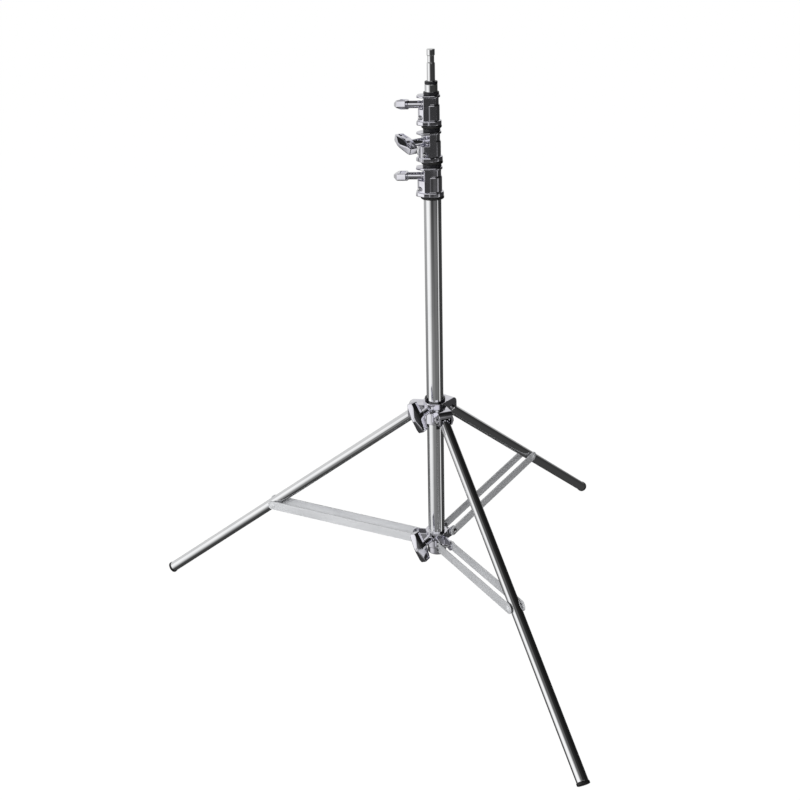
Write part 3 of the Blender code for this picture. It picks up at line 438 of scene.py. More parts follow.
def rounded(corners, steps=ARC_STEPS):
    """Outline from (x, y, radius) corners, each rounded to its radius."""
    points = []
    for index, (x, y, radius) in enumerate(corners):
        if radius <= 0.0:
            points.append((x, y))
            continue
        here = Vector((x, y))
        back = Vector(corners[index - 1][:2]) - here
        ahead = Vector(corners[(index + 1) % len(corners)][:2]) - here
        reach = min(back.length, ahead.length)
        back.normalize()
        ahead.normalize()
        half = 0.5 * math.acos(max(-1.0, min(1.0, back.dot(ahead))))
        run = min(radius / math.tan(half), LARGEST_RUN * reach)
        start = here + back * run
        end = here + ahead * run
        for step in range(steps + 1):
            share = step / steps
            points.append(tuple(start.lerp(here, share).lerp(here.lerp(end, share), share)))
    return points


def on_axis(corners):
    """Rounded outline of a solid turned piece, closed to the axis at its foot and its top."""
    return rounded([(0.0, corners[0][1], 0.0), *corners, (0.0, corners[-1][1], 0.0)])


print("points of a rounded square", len(rounded([(0, 0, 0.2), (1, 0, 0.2), (1, 1, 0.2),
                                                 (0, 1, 0.2)])))

# %% [markdown]
# Spinning an outline round an axis gives tubes, rings and pins. Extruding one gives plates. Where a
# casting is made of several such forms, joining them exactly leaves one clean closed skin, which
# overlapping shells would not.

# %% Turned and extruded solids
HERE = Matrix.Identity(4)
SAME_POINT = 1e-7
SAME_HEIGHT = 1e-9


def settle(work, place):
    """Move a mesh to its place and turn its faces outwards."""
    bmesh.ops.transform(work, matrix=place, verts=work.verts)
    bmesh.ops.recalc_face_normals(work, faces=work.faces)
    return work


def ease(work, edges, width, segments):
    """Round some edges of a mesh."""
    bmesh.ops.bevel(work, geom=edges, offset=width, offset_type='OFFSET', affect='EDGES',
                    segments=segments, profile=0.5, material=-1)


def turned(outline, sides, place=HERE):
    """Mesh turned about local Z from an outline of (radius, height) points."""
    work = bmesh.new()
    ring = [work.verts.new((radius, 0.0, height)) for radius, height in outline]
    is_hollow = all(radius > 0.0 for radius, _ in outline)
    pairs = zip(ring, ring[1:] + ring[:1]) if is_hollow else zip(ring, ring[1:])
    edges = [work.edges.new(pair) for pair in pairs]
    bmesh.ops.spin(work, geom=ring + edges, cent=(0.0, 0.0, 0.0), axis=(0.0, 0.0, 1.0),
                   angle=math.tau, steps=sides, use_merge=True, use_duplicate=False)
    bmesh.ops.remove_doubles(work, verts=work.verts, dist=SAME_POINT)
    return settle(work, place)


def plate(outline, low, high, place=HERE, edge=0.0, segments=2):
    """Mesh extruded along local Z from an outline, with its two rims rounded."""
    work = bmesh.new()
    face = work.faces.new([work.verts.new((x, y, low)) for x, y in outline])
    raised = bmesh.ops.extrude_face_region(work, geom=[face])
    moved = [item for item in raised["geom"] if isinstance(item, bmesh.types.BMVert)]
    bmesh.ops.translate(work, verts=moved, vec=(0.0, 0.0, high - low))
    bmesh.ops.recalc_face_normals(work, faces=work.faces)
    if edge > 0.0:
        ease(work, [item for item in work.edges
                    if abs(item.verts[0].co.z - item.verts[1].co.z) < SAME_HEIGHT],
             edge, segments)
    return settle(work, place)


def bar(radius, low, high, sides=32, place=HERE, edge=0.0):
    """Round bar along local Z, with both its edges eased where a width is given."""
    side = [(radius, low), (radius, high)]
    if edge > 0.0:
        side = (arc((radius - edge, low + edge), edge, -90.0, 0.0, 4)
                + arc((radius - edge, high - edge), edge, 0.0, 90.0, 4))
    return turned([(0.0, low), *side, (0.0, high)], sides, place)


print("solid tools ready")

# %% Castings and finished pieces
SAME_SPOT = 2e-6
BODY_SIDES = 80
CAST_SHARP = 30.0


def combine(item, work, operation):
    """Join a mesh to an object, cut it away or keep what both share."""
    tool = as_object("tool", work)
    step = item.modifiers.new("step", 'BOOLEAN')
    step.operation = operation
    step.solver = 'EXACT'
    step.object = tool
    bpy.context.view_layer.update()
    shape = item.evaluated_get(bpy.context.evaluated_depsgraph_get())
    result = bmesh.new()
    result.from_mesh(shape.to_mesh())
    shape.to_mesh_clear()
    item.modifiers.clear()
    bmesh.ops.remove_doubles(result, verts=result.verts, dist=SAME_SPOT)
    bmesh.ops.dissolve_degenerate(result, edges=result.edges, dist=SAME_SPOT)
    result.to_mesh(item.data)
    result.free()
    bpy.data.objects.remove(tool)


def common(name, *works):
    """Mesh of what all the given meshes share."""
    item = as_object(name, works[0])
    for work in works[1:]:
        combine(item, work, 'INTERSECT')
    shared = bmesh.new()
    shared.from_mesh(item.data)
    bpy.data.objects.remove(item)
    return shared


def casting(name, base, joined=(), cut=()):
    """Object made of one mesh, others joined to it and others cut away."""
    item = as_object(name, base)
    for work in joined:
        combine(item, work, 'UNION')
    for work in cut:
        combine(item, work, 'DIFFERENCE')
    return item


def place_piece(item, node, material, sharp=35.0):
    """Finish a piece: shading, material, and the body and node it stands for."""
    item.data.shade_smooth()
    item.data.set_sharp_from_angle(angle=math.radians(sharp))
    even = item.modifiers.new("even_normals", 'WEIGHTED_NORMAL')
    even.keep_sharp = True
    item.data.materials.clear()
    item.data.materials.append(material)
    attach(item, BODY_OF[node])
    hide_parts(node)
    return item


def turned_piece(node, made, material, outline, sides=BODY_SIDES, place=HERE):
    """Finished piece that is one turned solid, named for its node and how it is made."""
    item = as_object(node + "_" + made, turned(outline, sides, place))
    return place_piece(item, node, material)


print("casting tools ready")

# %% [markdown]
# The mast is four tubes, each sliding in the last. A real one is drawn steel with a 1.3 mm wall and
# its ends cut square and just broken, so each is a hollow turned piece with a tiny rounding at its
# ends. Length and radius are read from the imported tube.

# %% Mast tubes
TUBE_WALL, TUBE_EDGE = 0.0013, 0.0004
TUBE_SIDES = 96


def span(node):
    """Radius, foot and top of an upright round node."""
    low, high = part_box(node)
    return 0.5 * (high.x - low.x), low.z, high.z


def tube_wall(inner, outer, low, high):
    """Closed outline of a tube wall with rounded ends."""
    return rounded([(inner, low, TUBE_EDGE), (outer, low, TUBE_EDGE), (outer, high, TUBE_EDGE),
                    (inner, high, TUBE_EDGE)], 3)


for tube in ("base_tube", "riser_1_tube", "riser_2_tube", "riser_3_tube"):
    tube_radius, tube_foot, tube_top = span(tube)
    turned_piece(tube, "drawn", MAST_CHROME,
                 tube_wall(tube_radius - TUBE_WALL, tube_radius, tube_foot, tube_top), TUBE_SIDES)
    print(tube, "diameter", round(2000 * tube_radius, 1), "mm, length",
          round(1000 * (tube_top - tube_foot)), "mm")

# %% [markdown]
# On top stands the pin that carries the lamp. Its groove takes the lamp's clamp screw, and a lamp
# can't slip off past the wider head. It is turned in one piece with soft corners, and the black
# ring at its foot closes the top riser.

# %% Pin and its ring
GAP = 0.0003
PIN_RADIUS, PIN_NECK = 0.0080, 0.0067
PIN_HEAD_HEIGHT, PIN_NECK_HEIGHT, PIN_SLOPE = 0.0120, 0.0150, 0.0013
PIN_EDGE, PIN_TOP_EDGE, SHANK_EDGE = 0.0006, 0.0014, 0.0010
PIN_SIDES = 64

shank_radius, pin_foot, pin_top = span("baby_pin")
ring_radius, ring_foot, ring_top = span("pin_ring")
pin_head = pin_top - PIN_HEAD_HEIGHT
pin_neck = pin_head - PIN_NECK_HEIGHT
turned_piece("baby_pin", "turned", MAST_CHROME, on_axis([
    (shank_radius, pin_foot, SHANK_EDGE), (shank_radius, ring_foot, 0.0),
    (PIN_RADIUS, ring_foot, 0.0), (PIN_RADIUS, pin_neck, PIN_EDGE),
    (PIN_NECK, pin_neck + PIN_SLOPE, PIN_EDGE), (PIN_NECK, pin_head - PIN_SLOPE, PIN_EDGE),
    (PIN_RADIUS, pin_head, PIN_EDGE), (PIN_RADIUS, pin_top, PIN_TOP_EDGE)]), PIN_SIDES)
ring_bore = PIN_RADIUS + GAP
turned_piece("pin_ring", "moulded", NYLON, rounded([
    (ring_bore, ring_foot, 0.0002), (ring_radius, ring_foot, 0.0012),
    (ring_radius, ring_top, 0.0016), (ring_bore, ring_top, 0.0005)]), PIN_SIDES)
print("pin stands", round(1000 * (pin_top - ring_top), 1), "mm above its ring")

# %% [markdown]
# Pieces of the collars and of the base stand at many azimuths round the mast. Each could be turned
# there after it is made, but then its object would stay turned. Here a frame carries its mesh to
# the place, and there are three kinds: upright on the mast, across a leg's plane and outwards.

# %% Directions
Z_AXIS = Vector((0.0, 0.0, 1.0))


def radial(azimuth):
    """Unit vector outwards at an azimuth in degrees, where 0 is -Y and 90 is +X."""
    angle = math.radians(azimuth)
    return Vector((math.sin(angle), -math.cos(angle), 0.0))


def lateral(azimuth):
    return radial(azimuth + 90.0)


def basis(x_axis, y_axis, z_axis, origin):
    """Matrix that carries a local frame to the given axes and origin."""
    axes = Matrix((x_axis, y_axis, z_axis)).transposed().to_4x4()
    return Matrix.Translation(Vector(origin)) @ axes


def upright(azimuth):
    """Frame on the mast axis with X outwards at an azimuth."""
    return basis(radial(azimuth), lateral(azimuth), Z_AXIS, (0.0, 0.0, 0.0))


def across(azimuth, reach=0.0, height=0.0):
    """Frame whose Z axis runs sideways across a leg plane."""
    out = radial(azimuth)
    return basis(out, Z_AXIS, -lateral(azimuth), out * reach + Z_AXIS * height)


def outward(azimuth, reach, height, turn=0.0):
    """Frame whose Z axis points outwards at an azimuth, turned about that axis."""
    out = radial(azimuth)
    place = basis(lateral(azimuth), Z_AXIS, out, out * reach + Z_AXIS * height)
    return place @ Matrix.Rotation(math.radians(turn), 4, 'Z')


print("azimuth 90 points to", [round(value, 3) for value in radial(90.0)])

# %% [markdown]
# Each collar is one casting. Its lower two thirds are split and clamped on its own tube by a cross
# bolt through two lugs, and its upper third is bored for the next tube, which the T-lever's screw
# holds. Seen from above it has flat cheeks and a tapered nose that ends in the lugs. A flange
# closes it below and a rim above, and both follow that plan. The round side steps in at a shoulder
# where the bore gets smaller, and the bolt sits in a round seat cut into the nose.

# %% Collar sizes
# The last line holds how far a cutter runs past a solid, half the length of a cutter for a cross
# hole, and the length of one for a screw hole or a slot. In the outlines below each third number is
# the radius of a corner.
COLLAR_WALL, COLLAR_GRIP, SHOULDER_DROP = 0.0016, 0.0260, 0.0190
RIM_OUT, RIM_HEIGHT = 0.0028, 0.0050
FLANGE_OUT, FLANGE_HEIGHT = 0.0034, 0.0090
LUG_OUT, LUG_HALF, LUG_CORNER, LUG_DROP = 0.0095, 0.0090, 0.0040, 0.0270
CHEEK_REACH, CHEEK_CORNER, CHEEK_IN, NOSE_HALF = 0.0142, 0.0012, 0.0004, 0.0106
SLOT_WIDTH, SLOT_DROP = 0.0022, 0.0330
BOSS_RADIUS, BOSS_OUT, BOSS_EDGE, BOSS_SIDES = 0.0085, 0.0034, 0.0008, 48
SCREW_DROP, SCREW_RADIUS = 0.0190, 0.0040
SEAT_DEPTH, SEAT_OUT = 0.0030, 0.0016
BOLT_OUT, BOLT_RISE, BOLT_RADIUS = 0.0047, 0.0062, 0.0025
SPOT_RADIUS, SPOT_DEEP, SPOT_FAR = 0.0054, 0.0002, 0.0120
PAST, HALF_HOLE, LONG_HOLE = 0.001, 0.03, 0.05


class Collar:
    """Sizes of a collar from the radii of the tube it grips and the tube it guides."""

    def __init__(self, level, azimuth, low_tube, up_tube, lever_turn):
        self.level, self.azimuth, self.lever_turn = level, azimuth, lever_turn
        _, self.bottom, self.top = span(level + "_collar")
        self.up_tube = up_tube
        self.low_bore, self.up_bore = low_tube + GAP, up_tube + GAP
        self.low_outer, self.up_outer = self.low_bore + COLLAR_WALL, self.up_bore + COLLAR_WALL
        self.boss_face, self.screw_height = self.up_outer + BOSS_OUT, self.top - SCREW_DROP
        self.bolt_place = across(azimuth, self.low_outer + BOLT_OUT,
                                 self.bottom + FLANGE_HEIGHT + BOLT_RISE)


COLLARS = (Collar("lower", -117.0, 0.0175, 0.0159, 9.0),
           Collar("middle", -84.0, 0.0159, 0.0143, -17.0),
           Collar("upper", -120.0, 0.0143, 0.0127, 12.0))
print("collars are", round(1000 * (COLLARS[0].top - COLLARS[0].bottom), 1), "mm high")

# %% Collar castings


def lug_plan(wide, reach, out=0.0):
    """Plan of a lug along +X, grown by an offset: flat cheeks, a tapered nose and a round tip."""
    cheek, nose = wide + out, NOSE_HALF + out
    half = [(0.0, cheek, 0.0), (CHEEK_REACH + 0.4 * out, cheek, CHEEK_CORNER + out),
            (reach + out - LUG_CORNER, nose, 0.0030), (reach + out, nose - LUG_CORNER, LUG_CORNER)]
    return rounded([(x, -y, corner) for x, y, corner in half] + half[::-1])


def screw_hole(place):
    """Cutter for the hole of a clamp screw, from the mast axis outwards."""
    return bar(SCREW_RADIUS + GAP, 0.0, LONG_HOLE, 32, place)


def cast_collar(collar):
    """Collar casting: the solid forms are joined and its seats, bores, slot and holes cut.

    The small offsets keep faces of joined forms apart, so that no two lie in one plane.
    """
    bottom, top, place = collar.bottom, collar.top, upright(collar.azimuth)
    low, up, up_bore = collar.low_outer, collar.up_outer, collar.up_bore
    flange, rim, shoulder = bottom + FLANGE_HEIGHT, top - RIM_HEIGHT, top - SHOULDER_DROP
    reach, wide = low + LUG_OUT, low - CHEEK_IN
    body = turned(on_axis([
        (low + FLANGE_OUT, bottom, 0.0016), (low + FLANGE_OUT, flange, 0.0024),
        (low, flange + 0.0002, 0.0012), (low, shoulder - 0.0012, 0.0022),
        (up, shoulder + 0.0008, 0.0018), (up, rim - 0.0002, 0.0012),
        (up + RIM_OUT, rim, 0.0014), (up + RIM_OUT, top, 0.0016)]), BODY_SIDES, place)
    block = plate(lug_plan(wide, reach), bottom + 0.002, top - LUG_DROP, place, 0.0010, 3)
    cheek = plate(rounded([(0.0, -wide, 0.0), (CHEEK_REACH, -wide, CHEEK_CORNER),
                           (CHEEK_REACH, wide, CHEEK_CORNER), (0.0, wide, 0.0)]),
                  bottom + 0.003, top - 0.002, place)
    foot = plate(lug_plan(wide, reach, FLANGE_OUT - GAP), bottom + 0.0001, flange - GAP, place,
                 0.0018, 3)
    tab = plate(lug_plan(up, reach, RIM_OUT - GAP), rim + 0.0002, top - 0.0001, place, 0.0014, 3)
    screw_place = outward(collar.azimuth, 0.0, collar.screw_height)
    boss = bar(BOSS_RADIUS, 0.5 * up_bore, collar.boss_face, BOSS_SIDES, screw_place, BOSS_EDGE)
    near, far = LUG_HALF + SPOT_DEEP, LUG_HALF + SPOT_FAR
    spots = [bar(SPOT_RADIUS, near, far, 40, collar.bolt_place),
             bar(SPOT_RADIUS, -far, -near, 40, collar.bolt_place)]
    grip, seat, seat_bore = top - COLLAR_GRIP, top - SEAT_DEPTH, up_bore + SEAT_OUT - GAP
    bore = turned([(0.0, bottom - PAST), (collar.low_bore, bottom - PAST),
                   (collar.low_bore, grip), (up_bore, grip), (up_bore, seat), (seat_bore, seat),
                   (seat_bore, top + PAST), (0.0, top + PAST)], BODY_SIDES, place)
    side = 0.5 * SLOT_WIDTH
    slot = plate([(0.0, -side), (LONG_HOLE, -side), (LONG_HOLE, side), (0.0, side)],
                 bottom - PAST, top - SLOT_DROP, place)
    bolt_hole = bar(BOLT_RADIUS + GAP, -HALF_HOLE, HALF_HOLE, 24, collar.bolt_place)
    return casting(collar.level + "_collar_cast", body, (block, cheek, foot, tab, boss),
                   (*spots, bore, slot, screw_hole(screw_place), bolt_hole))


for collar in COLLARS:
    piece = place_piece(cast_collar(collar), collar.level + "_collar", CASTING, CAST_SHARP)
    print(collar.level, "collar faces", len(piece.data.polygons))

# %% [markdown]
# In the rim of each collar sits a black guide bush, and under each collar lies a black buffer ring
# that takes the knock when the collar above comes down. Both are simple mouldings with soft edges,
# so they are turned. The bush has a lip, and the ring bulges like a band of rubber.

# %% Guide bushes and buffer rings
BUSH_OUT, BUSH_EDGE = 0.0024, 0.0006
RING_BULGE, RING_EDGE = 0.0021, 0.0006

for collar in COLLARS:
    _, bush_foot, bush_top = span(collar.level + "_bush")
    inner, seat = collar.up_bore, bush_foot + SEAT_DEPTH
    skirt = inner + SEAT_OUT - 2 * GAP
    turned_piece(collar.level + "_bush", "moulded", NYLON, rounded([
        (inner, bush_foot, 0.0), (skirt, bush_foot, 0.0), (skirt, seat, 0.0),
        (inner + BUSH_OUT, seat, BUSH_EDGE), (inner + BUSH_OUT, bush_top, 0.0016),
        (inner, bush_top, BUSH_EDGE)]))
    ring_radius, ring_foot, ring_top = span(collar.level + "_ring")
    turned_piece(collar.level + "_ring", "moulded", RUBBER, rounded([
        (collar.low_bore, ring_foot, RING_EDGE), (ring_radius, ring_foot, RING_BULGE),
        (ring_radius, ring_top, RING_BULGE), (collar.low_bore, ring_top, RING_EDGE)]))
    print(collar.level, "ring", round(2000 * ring_radius, 1), "mm wide")

# %% [markdown]
# Bolts and nuts hold the castings. A domed head is turned. A nut is a hexagon whose six corners are
# turned off by a shallow cone, which is what makes the curved edges of a real one, so the hexagon
# is intersected with that cone.

# %% Bolts and nuts
HEAD_RIM, BOLT_TIP, BROKEN_EDGE = 0.0012, 0.0005, 0.0003
BOLT_SIDES = 40
LARGE_BOLT = ((0.0070, 0.0038), (0.0068, 0.0050), 0.0027)
SMALL_BOLT = ((0.0045, 0.0040), (0.0045, 0.0032), 0.0021)
THREAD_END = 0.0012
NUT_FLAT, NUT_CONE, NUT_BREAK = 0.90, 0.35, 0.0004
RECESS_SHARE = 0.55


def hexagon(radius):
    return arc((0.0, 0.0), radius, 0.0, 300.0, 5)


def nut(radius, low, high, place):
    """Hexagon nut with turned corners."""
    flat, corner = NUT_FLAT * radius, radius + 0.0001
    drop = NUT_CONE * (radius - flat) + NUT_BREAK
    cone = turned([(0.0, low), (flat, low), (corner, low + drop), (corner, high - drop),
                   (flat, high), (0.0, high)], 48)
    work = common("nut", plate(hexagon(radius), low, high), cone)
    bmesh.ops.transform(work, matrix=place, verts=work.verts)
    return work


def crown(radius, base, rise):
    """Points of a domed head, from its rim at a base height up to the axis."""
    sphere = (radius ** 2 + rise ** 2) / (2 * rise)
    sweep = math.degrees(math.asin(radius / sphere))
    points = arc((0.0, base + rise - sphere), sphere, 90.0 - sweep, 90.0, 8)
    return [*points[:-1], (0.0, points[-1][1])]


def domed_bolt(name, node, place, face, shank, sizes):
    """Finished bolt along local Z: a domed head with a hexagon recess, and a nut at the other end.

    The sizes are radius and height of the head, the same of the nut, and the recess's radius.
    """
    (head_radius, head_height), (nut_radius, nut_height), recess = sizes
    tail, top = -face - nut_height - THREAD_END, face + head_height
    body = turned([(0.0, tail), (shank - BOLT_TIP, tail), (shank, tail + BOLT_TIP), (shank, face),
                   (head_radius - BROKEN_EDGE, face), (head_radius, face + BROKEN_EDGE),
                   *crown(head_radius, face + HEAD_RIM, head_height - HEAD_RIM)],
                  BOLT_SIDES, place)
    socket = plate(hexagon(recess), top - RECESS_SHARE * head_height, top + PAST, place)
    bolt = casting(name, body, (nut(nut_radius, -face - nut_height, -face, place),), (socket,))
    return place_piece(bolt, node, BOLT_STEEL)


for collar in COLLARS:
    domed_bolt(collar.level + "_cross_bolt", collar.level + "_collar_bolt",
               collar.bolt_place @ Matrix.Rotation(math.pi, 4, 'X'), LUG_HALF + GAP, BOLT_RADIUS,
               SMALL_BOLT)
print("cross bolts", len(COLLARS))

# %% [markdown]
# The T-lever turns the clamp screw. Its two wings get thinner towards their ends and slope back
# from the middle, their outer face is roof-shaped, and a pocket in each flank makes them lighter. A
# plain bar would miss all of this, so a wedge seen from the side is cut to its plan and to its
# roof, its edges are rounded, the neck is turned, and four pockets whose floors follow the flanks
# are cut.

# %% Bar of a T-lever
LEVER_REACH, LEVER_SPAN, LEVER_DEPTH = 0.0545, 0.0650, 0.0285
LEVER_THICK, LEVER_END_THICK = 0.0200, 0.0136
LEVER_SWEEP, LEVER_ROOF, LEVER_RIDGE = 0.0085, 0.0120, 0.0060
LEVER_SLOPE, LEVER_DRAFT, LEVER_BARREL = 0.0025, 0.0010, 0.0045
LEVER_EDGE = 0.0019
SIDE_VIEW = Matrix.Rotation(math.radians(90.0), 4, 'X')
END_VIEW = SIDE_VIEW @ Matrix.Rotation(math.radians(90.0), 4, 'Y')
lever_inner, lever_eave = LEVER_REACH - LEVER_DEPTH, LEVER_REACH - LEVER_ROOF
lever_half, thick, slim = 0.5 * LEVER_SPAN, 0.5 * LEVER_THICK, 0.5 * LEVER_END_THICK


def lever_bar(name):
    """Bar that side view, plan and roof leave together, with all its edges rounded."""
    low, high, ridge = lever_inner - PAST, LEVER_REACH + PAST, 0.5 * LEVER_RIDGE
    wing = [(-lever_half, LEVER_REACH - LEVER_SWEEP),
            (-lever_half + LEVER_DRAFT, lever_inner + LEVER_SLOPE), (-LEVER_BARREL, lever_inner)]
    side = [*wing, *((-x, y) for x, y in reversed(wing)), (LEVER_BARREL, LEVER_REACH),
            (-LEVER_BARREL, LEVER_REACH)]
    plan = [(-lever_half, -slim), (-LEVER_BARREL, -thick), (LEVER_BARREL, -thick),
            (lever_half, -slim)]
    plan += [(x, -y) for x, y in reversed(plan)]
    roof = [(-thick, low), (thick, low), (thick, lever_eave), (ridge, high), (-ridge, high),
            (-thick, lever_eave)]
    blade = common(name, plate(side, -thick, thick, SIDE_VIEW), plate(plan, low, high),
                   plate(roof, -LEVER_SPAN, LEVER_SPAN, END_VIEW))
    bmesh.ops.dissolve_limit(blade, angle_limit=math.radians(1.0), verts=blade.verts,
                             edges=blade.edges)
    ease(blade, blade.edges[:], LEVER_EDGE, 3)
    return blade


print("lever bar", round(1000 * LEVER_SPAN, 1), "mm across")

# %% T-lever
LEVER_NECK, NECK_INSIDE, NECK_SIDES = 0.0076, 0.0080, 48
LEVER_END, LEVER_LIP = 0.0042, 0.0012
LEVER_POCKET, POCKET_CORNER, POCKET_EDGE, POCKET_PAST = 0.0026, 0.0016, 0.0006, 0.004
SCREW_ENGAGE = 0.0200


def t_lever(name, azimuth, reach, height, turn):
    """T-lever that stands on a boss face, with its bar turned about the screw."""
    place = outward(azimuth, reach + GAP, height, turn)
    blade = settle(lever_bar(name), place)
    neck_top = lever_inner + NECK_INSIDE
    neck = turned(on_axis([
        (LEVER_NECK - 0.0006, 0.0, 0.0010), (LEVER_NECK, 0.0050, 0.0030),
        (LEVER_NECK, lever_inner - 0.0020, 0.0015),
        (LEVER_NECK + 0.0008, lever_inner + 0.0010, 0.0), (LEVER_NECK, neck_top, 0.0)]),
        NECK_SIDES, place)
    low, high = lever_inner + LEVER_SLOPE + LEVER_LIP, lever_eave - LEVER_LIP
    lean = math.atan((thick - slim) / (lever_half - LEVER_BARREL))
    cutters = []
    for side in (-1.0, 1.0):
        start, stop = side * LEVER_BARREL, side * (lever_half - LEVER_END)
        pocket = rounded([(start, low, POCKET_CORNER), (stop, low, POCKET_CORNER),
                          (stop, high, POCKET_CORNER), (start, high, POCKET_CORNER)])
        corner = Matrix.Translation((start, 0.0, 0.0))
        for face in (-1.0, 1.0):
            tilt = corner @ Matrix.Rotation(side * face * lean, 4, 'Y') @ corner.inverted()
            depths = sorted((face * (thick - LEVER_POCKET), face * (thick + POCKET_PAST)))
            cutters.append(plate(pocket, *depths, place @ SIDE_VIEW @ tilt, POCKET_EDGE))
    cutters.append(bar(SCREW_RADIUS + GAP, -PAST, SCREW_ENGAGE + GAP, 32, place))
    return casting(name, blade, (neck,), cutters)


print("screws reach", round(1000 * SCREW_ENGAGE, 1), "mm into their levers")

# %% Clamp screws and the five clamps
THREAD_DEPTH, THREAD_PITCH, THREAD_RISE = 0.0004, 0.0012, 0.4
THREAD_START, THREAD_SPARE = 0.001, 0.004
HUB_LEVER_AZIMUTH, HUB_LEVER_TURN = -56.0, -64.0
HUB_WALL, HUB_BOSS_OUT, HUB_SCREW_DROP = 0.0052, 0.0052, 0.0130
BRACE_HUB_WALL, BRACE_HUB_BELOW, BRACE_SCREW_RISE = 0.0058, 0.0170, 0.0080
BUSH_WALL = 0.0015


def clamp_screw(name, azimuth, start, face, height):
    """Threaded clamp screw from the tube to its end in the lever."""
    tip, tail = start + GAP, face + GAP + SCREW_ENGAGE
    crest, root = SCREW_RADIUS, SCREW_RADIUS - THREAD_DEPTH
    turns = int((tail - tip - THREAD_SPARE) / THREAD_PITCH)
    outline = [(0.0, tip), (root, tip)]
    for index in range(turns):
        valley = tip + THREAD_START + index * THREAD_PITCH
        outline += [(root, valley), (crest, valley + THREAD_RISE * THREAD_PITCH)]
    outline += [(root, tip + THREAD_START + turns * THREAD_PITCH), (root, tail), (0.0, tail)]
    return as_object(name, turned(outline, 32, outward(azimuth, 0.0, height)))


_, leg_hub_foot, leg_hub_top = span("leg_hub")
brace_hub_foot = span("brace_hub")[1]
MAST_RADIUS = span("base_tube")[0]
HUB_BORE = MAST_RADIUS + 2 * GAP + BUSH_WALL
HUB_OUTER = HUB_BORE + HUB_WALL
HUB_SCREW_HEIGHT = leg_hub_top - HUB_SCREW_DROP
BRACE_BORE = MAST_RADIUS + GAP
BRACE_OUTER = BRACE_BORE + BRACE_HUB_WALL
BRACE_PIVOT_HEIGHT = brace_hub_foot + BRACE_HUB_BELOW
BRACE_SCREW_HEIGHT = BRACE_PIVOT_HEIGHT + BRACE_SCREW_RISE

# Azimuth, where the screw starts, the boss face, height, and the turn of the lever.
CLAMPS = {collar.level: (collar.azimuth, collar.up_tube, collar.boss_face, collar.screw_height,
                         collar.lever_turn) for collar in COLLARS}
CLAMPS["leg_hub"] = (HUB_LEVER_AZIMUTH, HUB_BORE - GAP, HUB_OUTER + HUB_BOSS_OUT,
                     HUB_SCREW_HEIGHT, HUB_LEVER_TURN)
CLAMPS["brace_hub"] = (HUB_LEVER_AZIMUTH, MAST_RADIUS, BRACE_OUTER + HUB_BOSS_OUT,
                       BRACE_SCREW_HEIGHT, HUB_LEVER_TURN)
for label, (azimuth, start, face, height, turn) in CLAMPS.items():
    lever = t_lever(label + "_t_lever", azimuth, face, height, turn)
    place_piece(lever, label + "_lever", CASTING, CAST_SHARP)
    print(label, "lever faces", len(lever.data.polygons))
    place_piece(clamp_screw(label + "_clamp_screw", azimuth, start, face, height),
                label + "_screw", BOLT_STEEL)

# %% [markdown]
# The leg hub slides on the base tube. It is a ring with three forks, each a box that is closed on
# top and open below, where the leg hangs on its bolt. The roof of the box stops the leg when it is
# spread. The brace hub further down has the same kind of ring and screw boss, so one function casts
# both.

# %% Leg hub
LEG_AZIMUTHS = {"front": 0.0, "left": -120.0, "rear": 120.0}
LEG_RADIUS, LEG_WALL = 0.0111, 0.0015
LEG_REACH, LEG_PIVOT_HEIGHT = 0.0420, leg_hub_top - 0.029
FORK_INNER = LEG_RADIUS + 0.0006
FORK_OUTER = FORK_INNER + 0.0035
FORK_TIP = LEG_REACH + 0.0145
FORK_TOP, FORK_FOOT = LEG_PIVOT_HEIGHT + 0.022, LEG_PIVOT_HEIGHT - 0.0102
FORK_ROOF, FORK_SHOULDER, FORK_EDGE, FORK_INNER_EDGE = 0.0026, 0.0120, 0.0009, 0.0006
FORK_NOSE, NOSE_RISE, NOSE_START = 0.0080, 0.0095, -55.0
FORK_BOLT_HOLE = 0.0043
HUB_FOOT_EDGE, HUB_TOP_EDGE = 0.0014, 0.0018


def cast_hub(node, bore, outer, screw_height, flare, joined, cut):
    """Hub casting: ring and screw boss with more forms joined and cut, bored for tube and screw."""
    _, foot, top = span(node)
    screw_place = outward(HUB_LEVER_AZIMUTH, 0.0, screw_height)
    ring = turned(on_axis([(outer, foot, HUB_FOOT_EDGE), (outer, top, HUB_TOP_EDGE)]), BODY_SIDES)
    boss = turned(on_axis([
        (BOSS_RADIUS + flare, 0.5 * bore, 0.0), (BOSS_RADIUS + flare, outer - 0.0010, 0.0),
        (BOSS_RADIUS, outer + 0.0018, 0.0020), (BOSS_RADIUS, outer + HUB_BOSS_OUT, BOSS_EDGE)]),
        BOSS_SIDES, screw_place)
    holes = [bar(bore, foot - PAST, top + PAST, BODY_SIDES), screw_hole(screw_place)]
    cast = casting(node + "_cast", ring, [boss, *joined], [*cut, *holes])
    return place_piece(cast, node, CASTING, CAST_SHARP)


def cross_hole(radius, place):
    """Cutter for a hole from side to side."""
    return bar(radius, -HALF_HOLE, HALF_HOLE, 32, place)


def shoulder(roof):
    """Arc over the top of a fork, or of the hollow under its roof."""
    return arc((FORK_TIP - FORK_SHOULDER, FORK_TOP - FORK_SHOULDER), FORK_SHOULDER - roof, 0.0,
               90.0, 16)


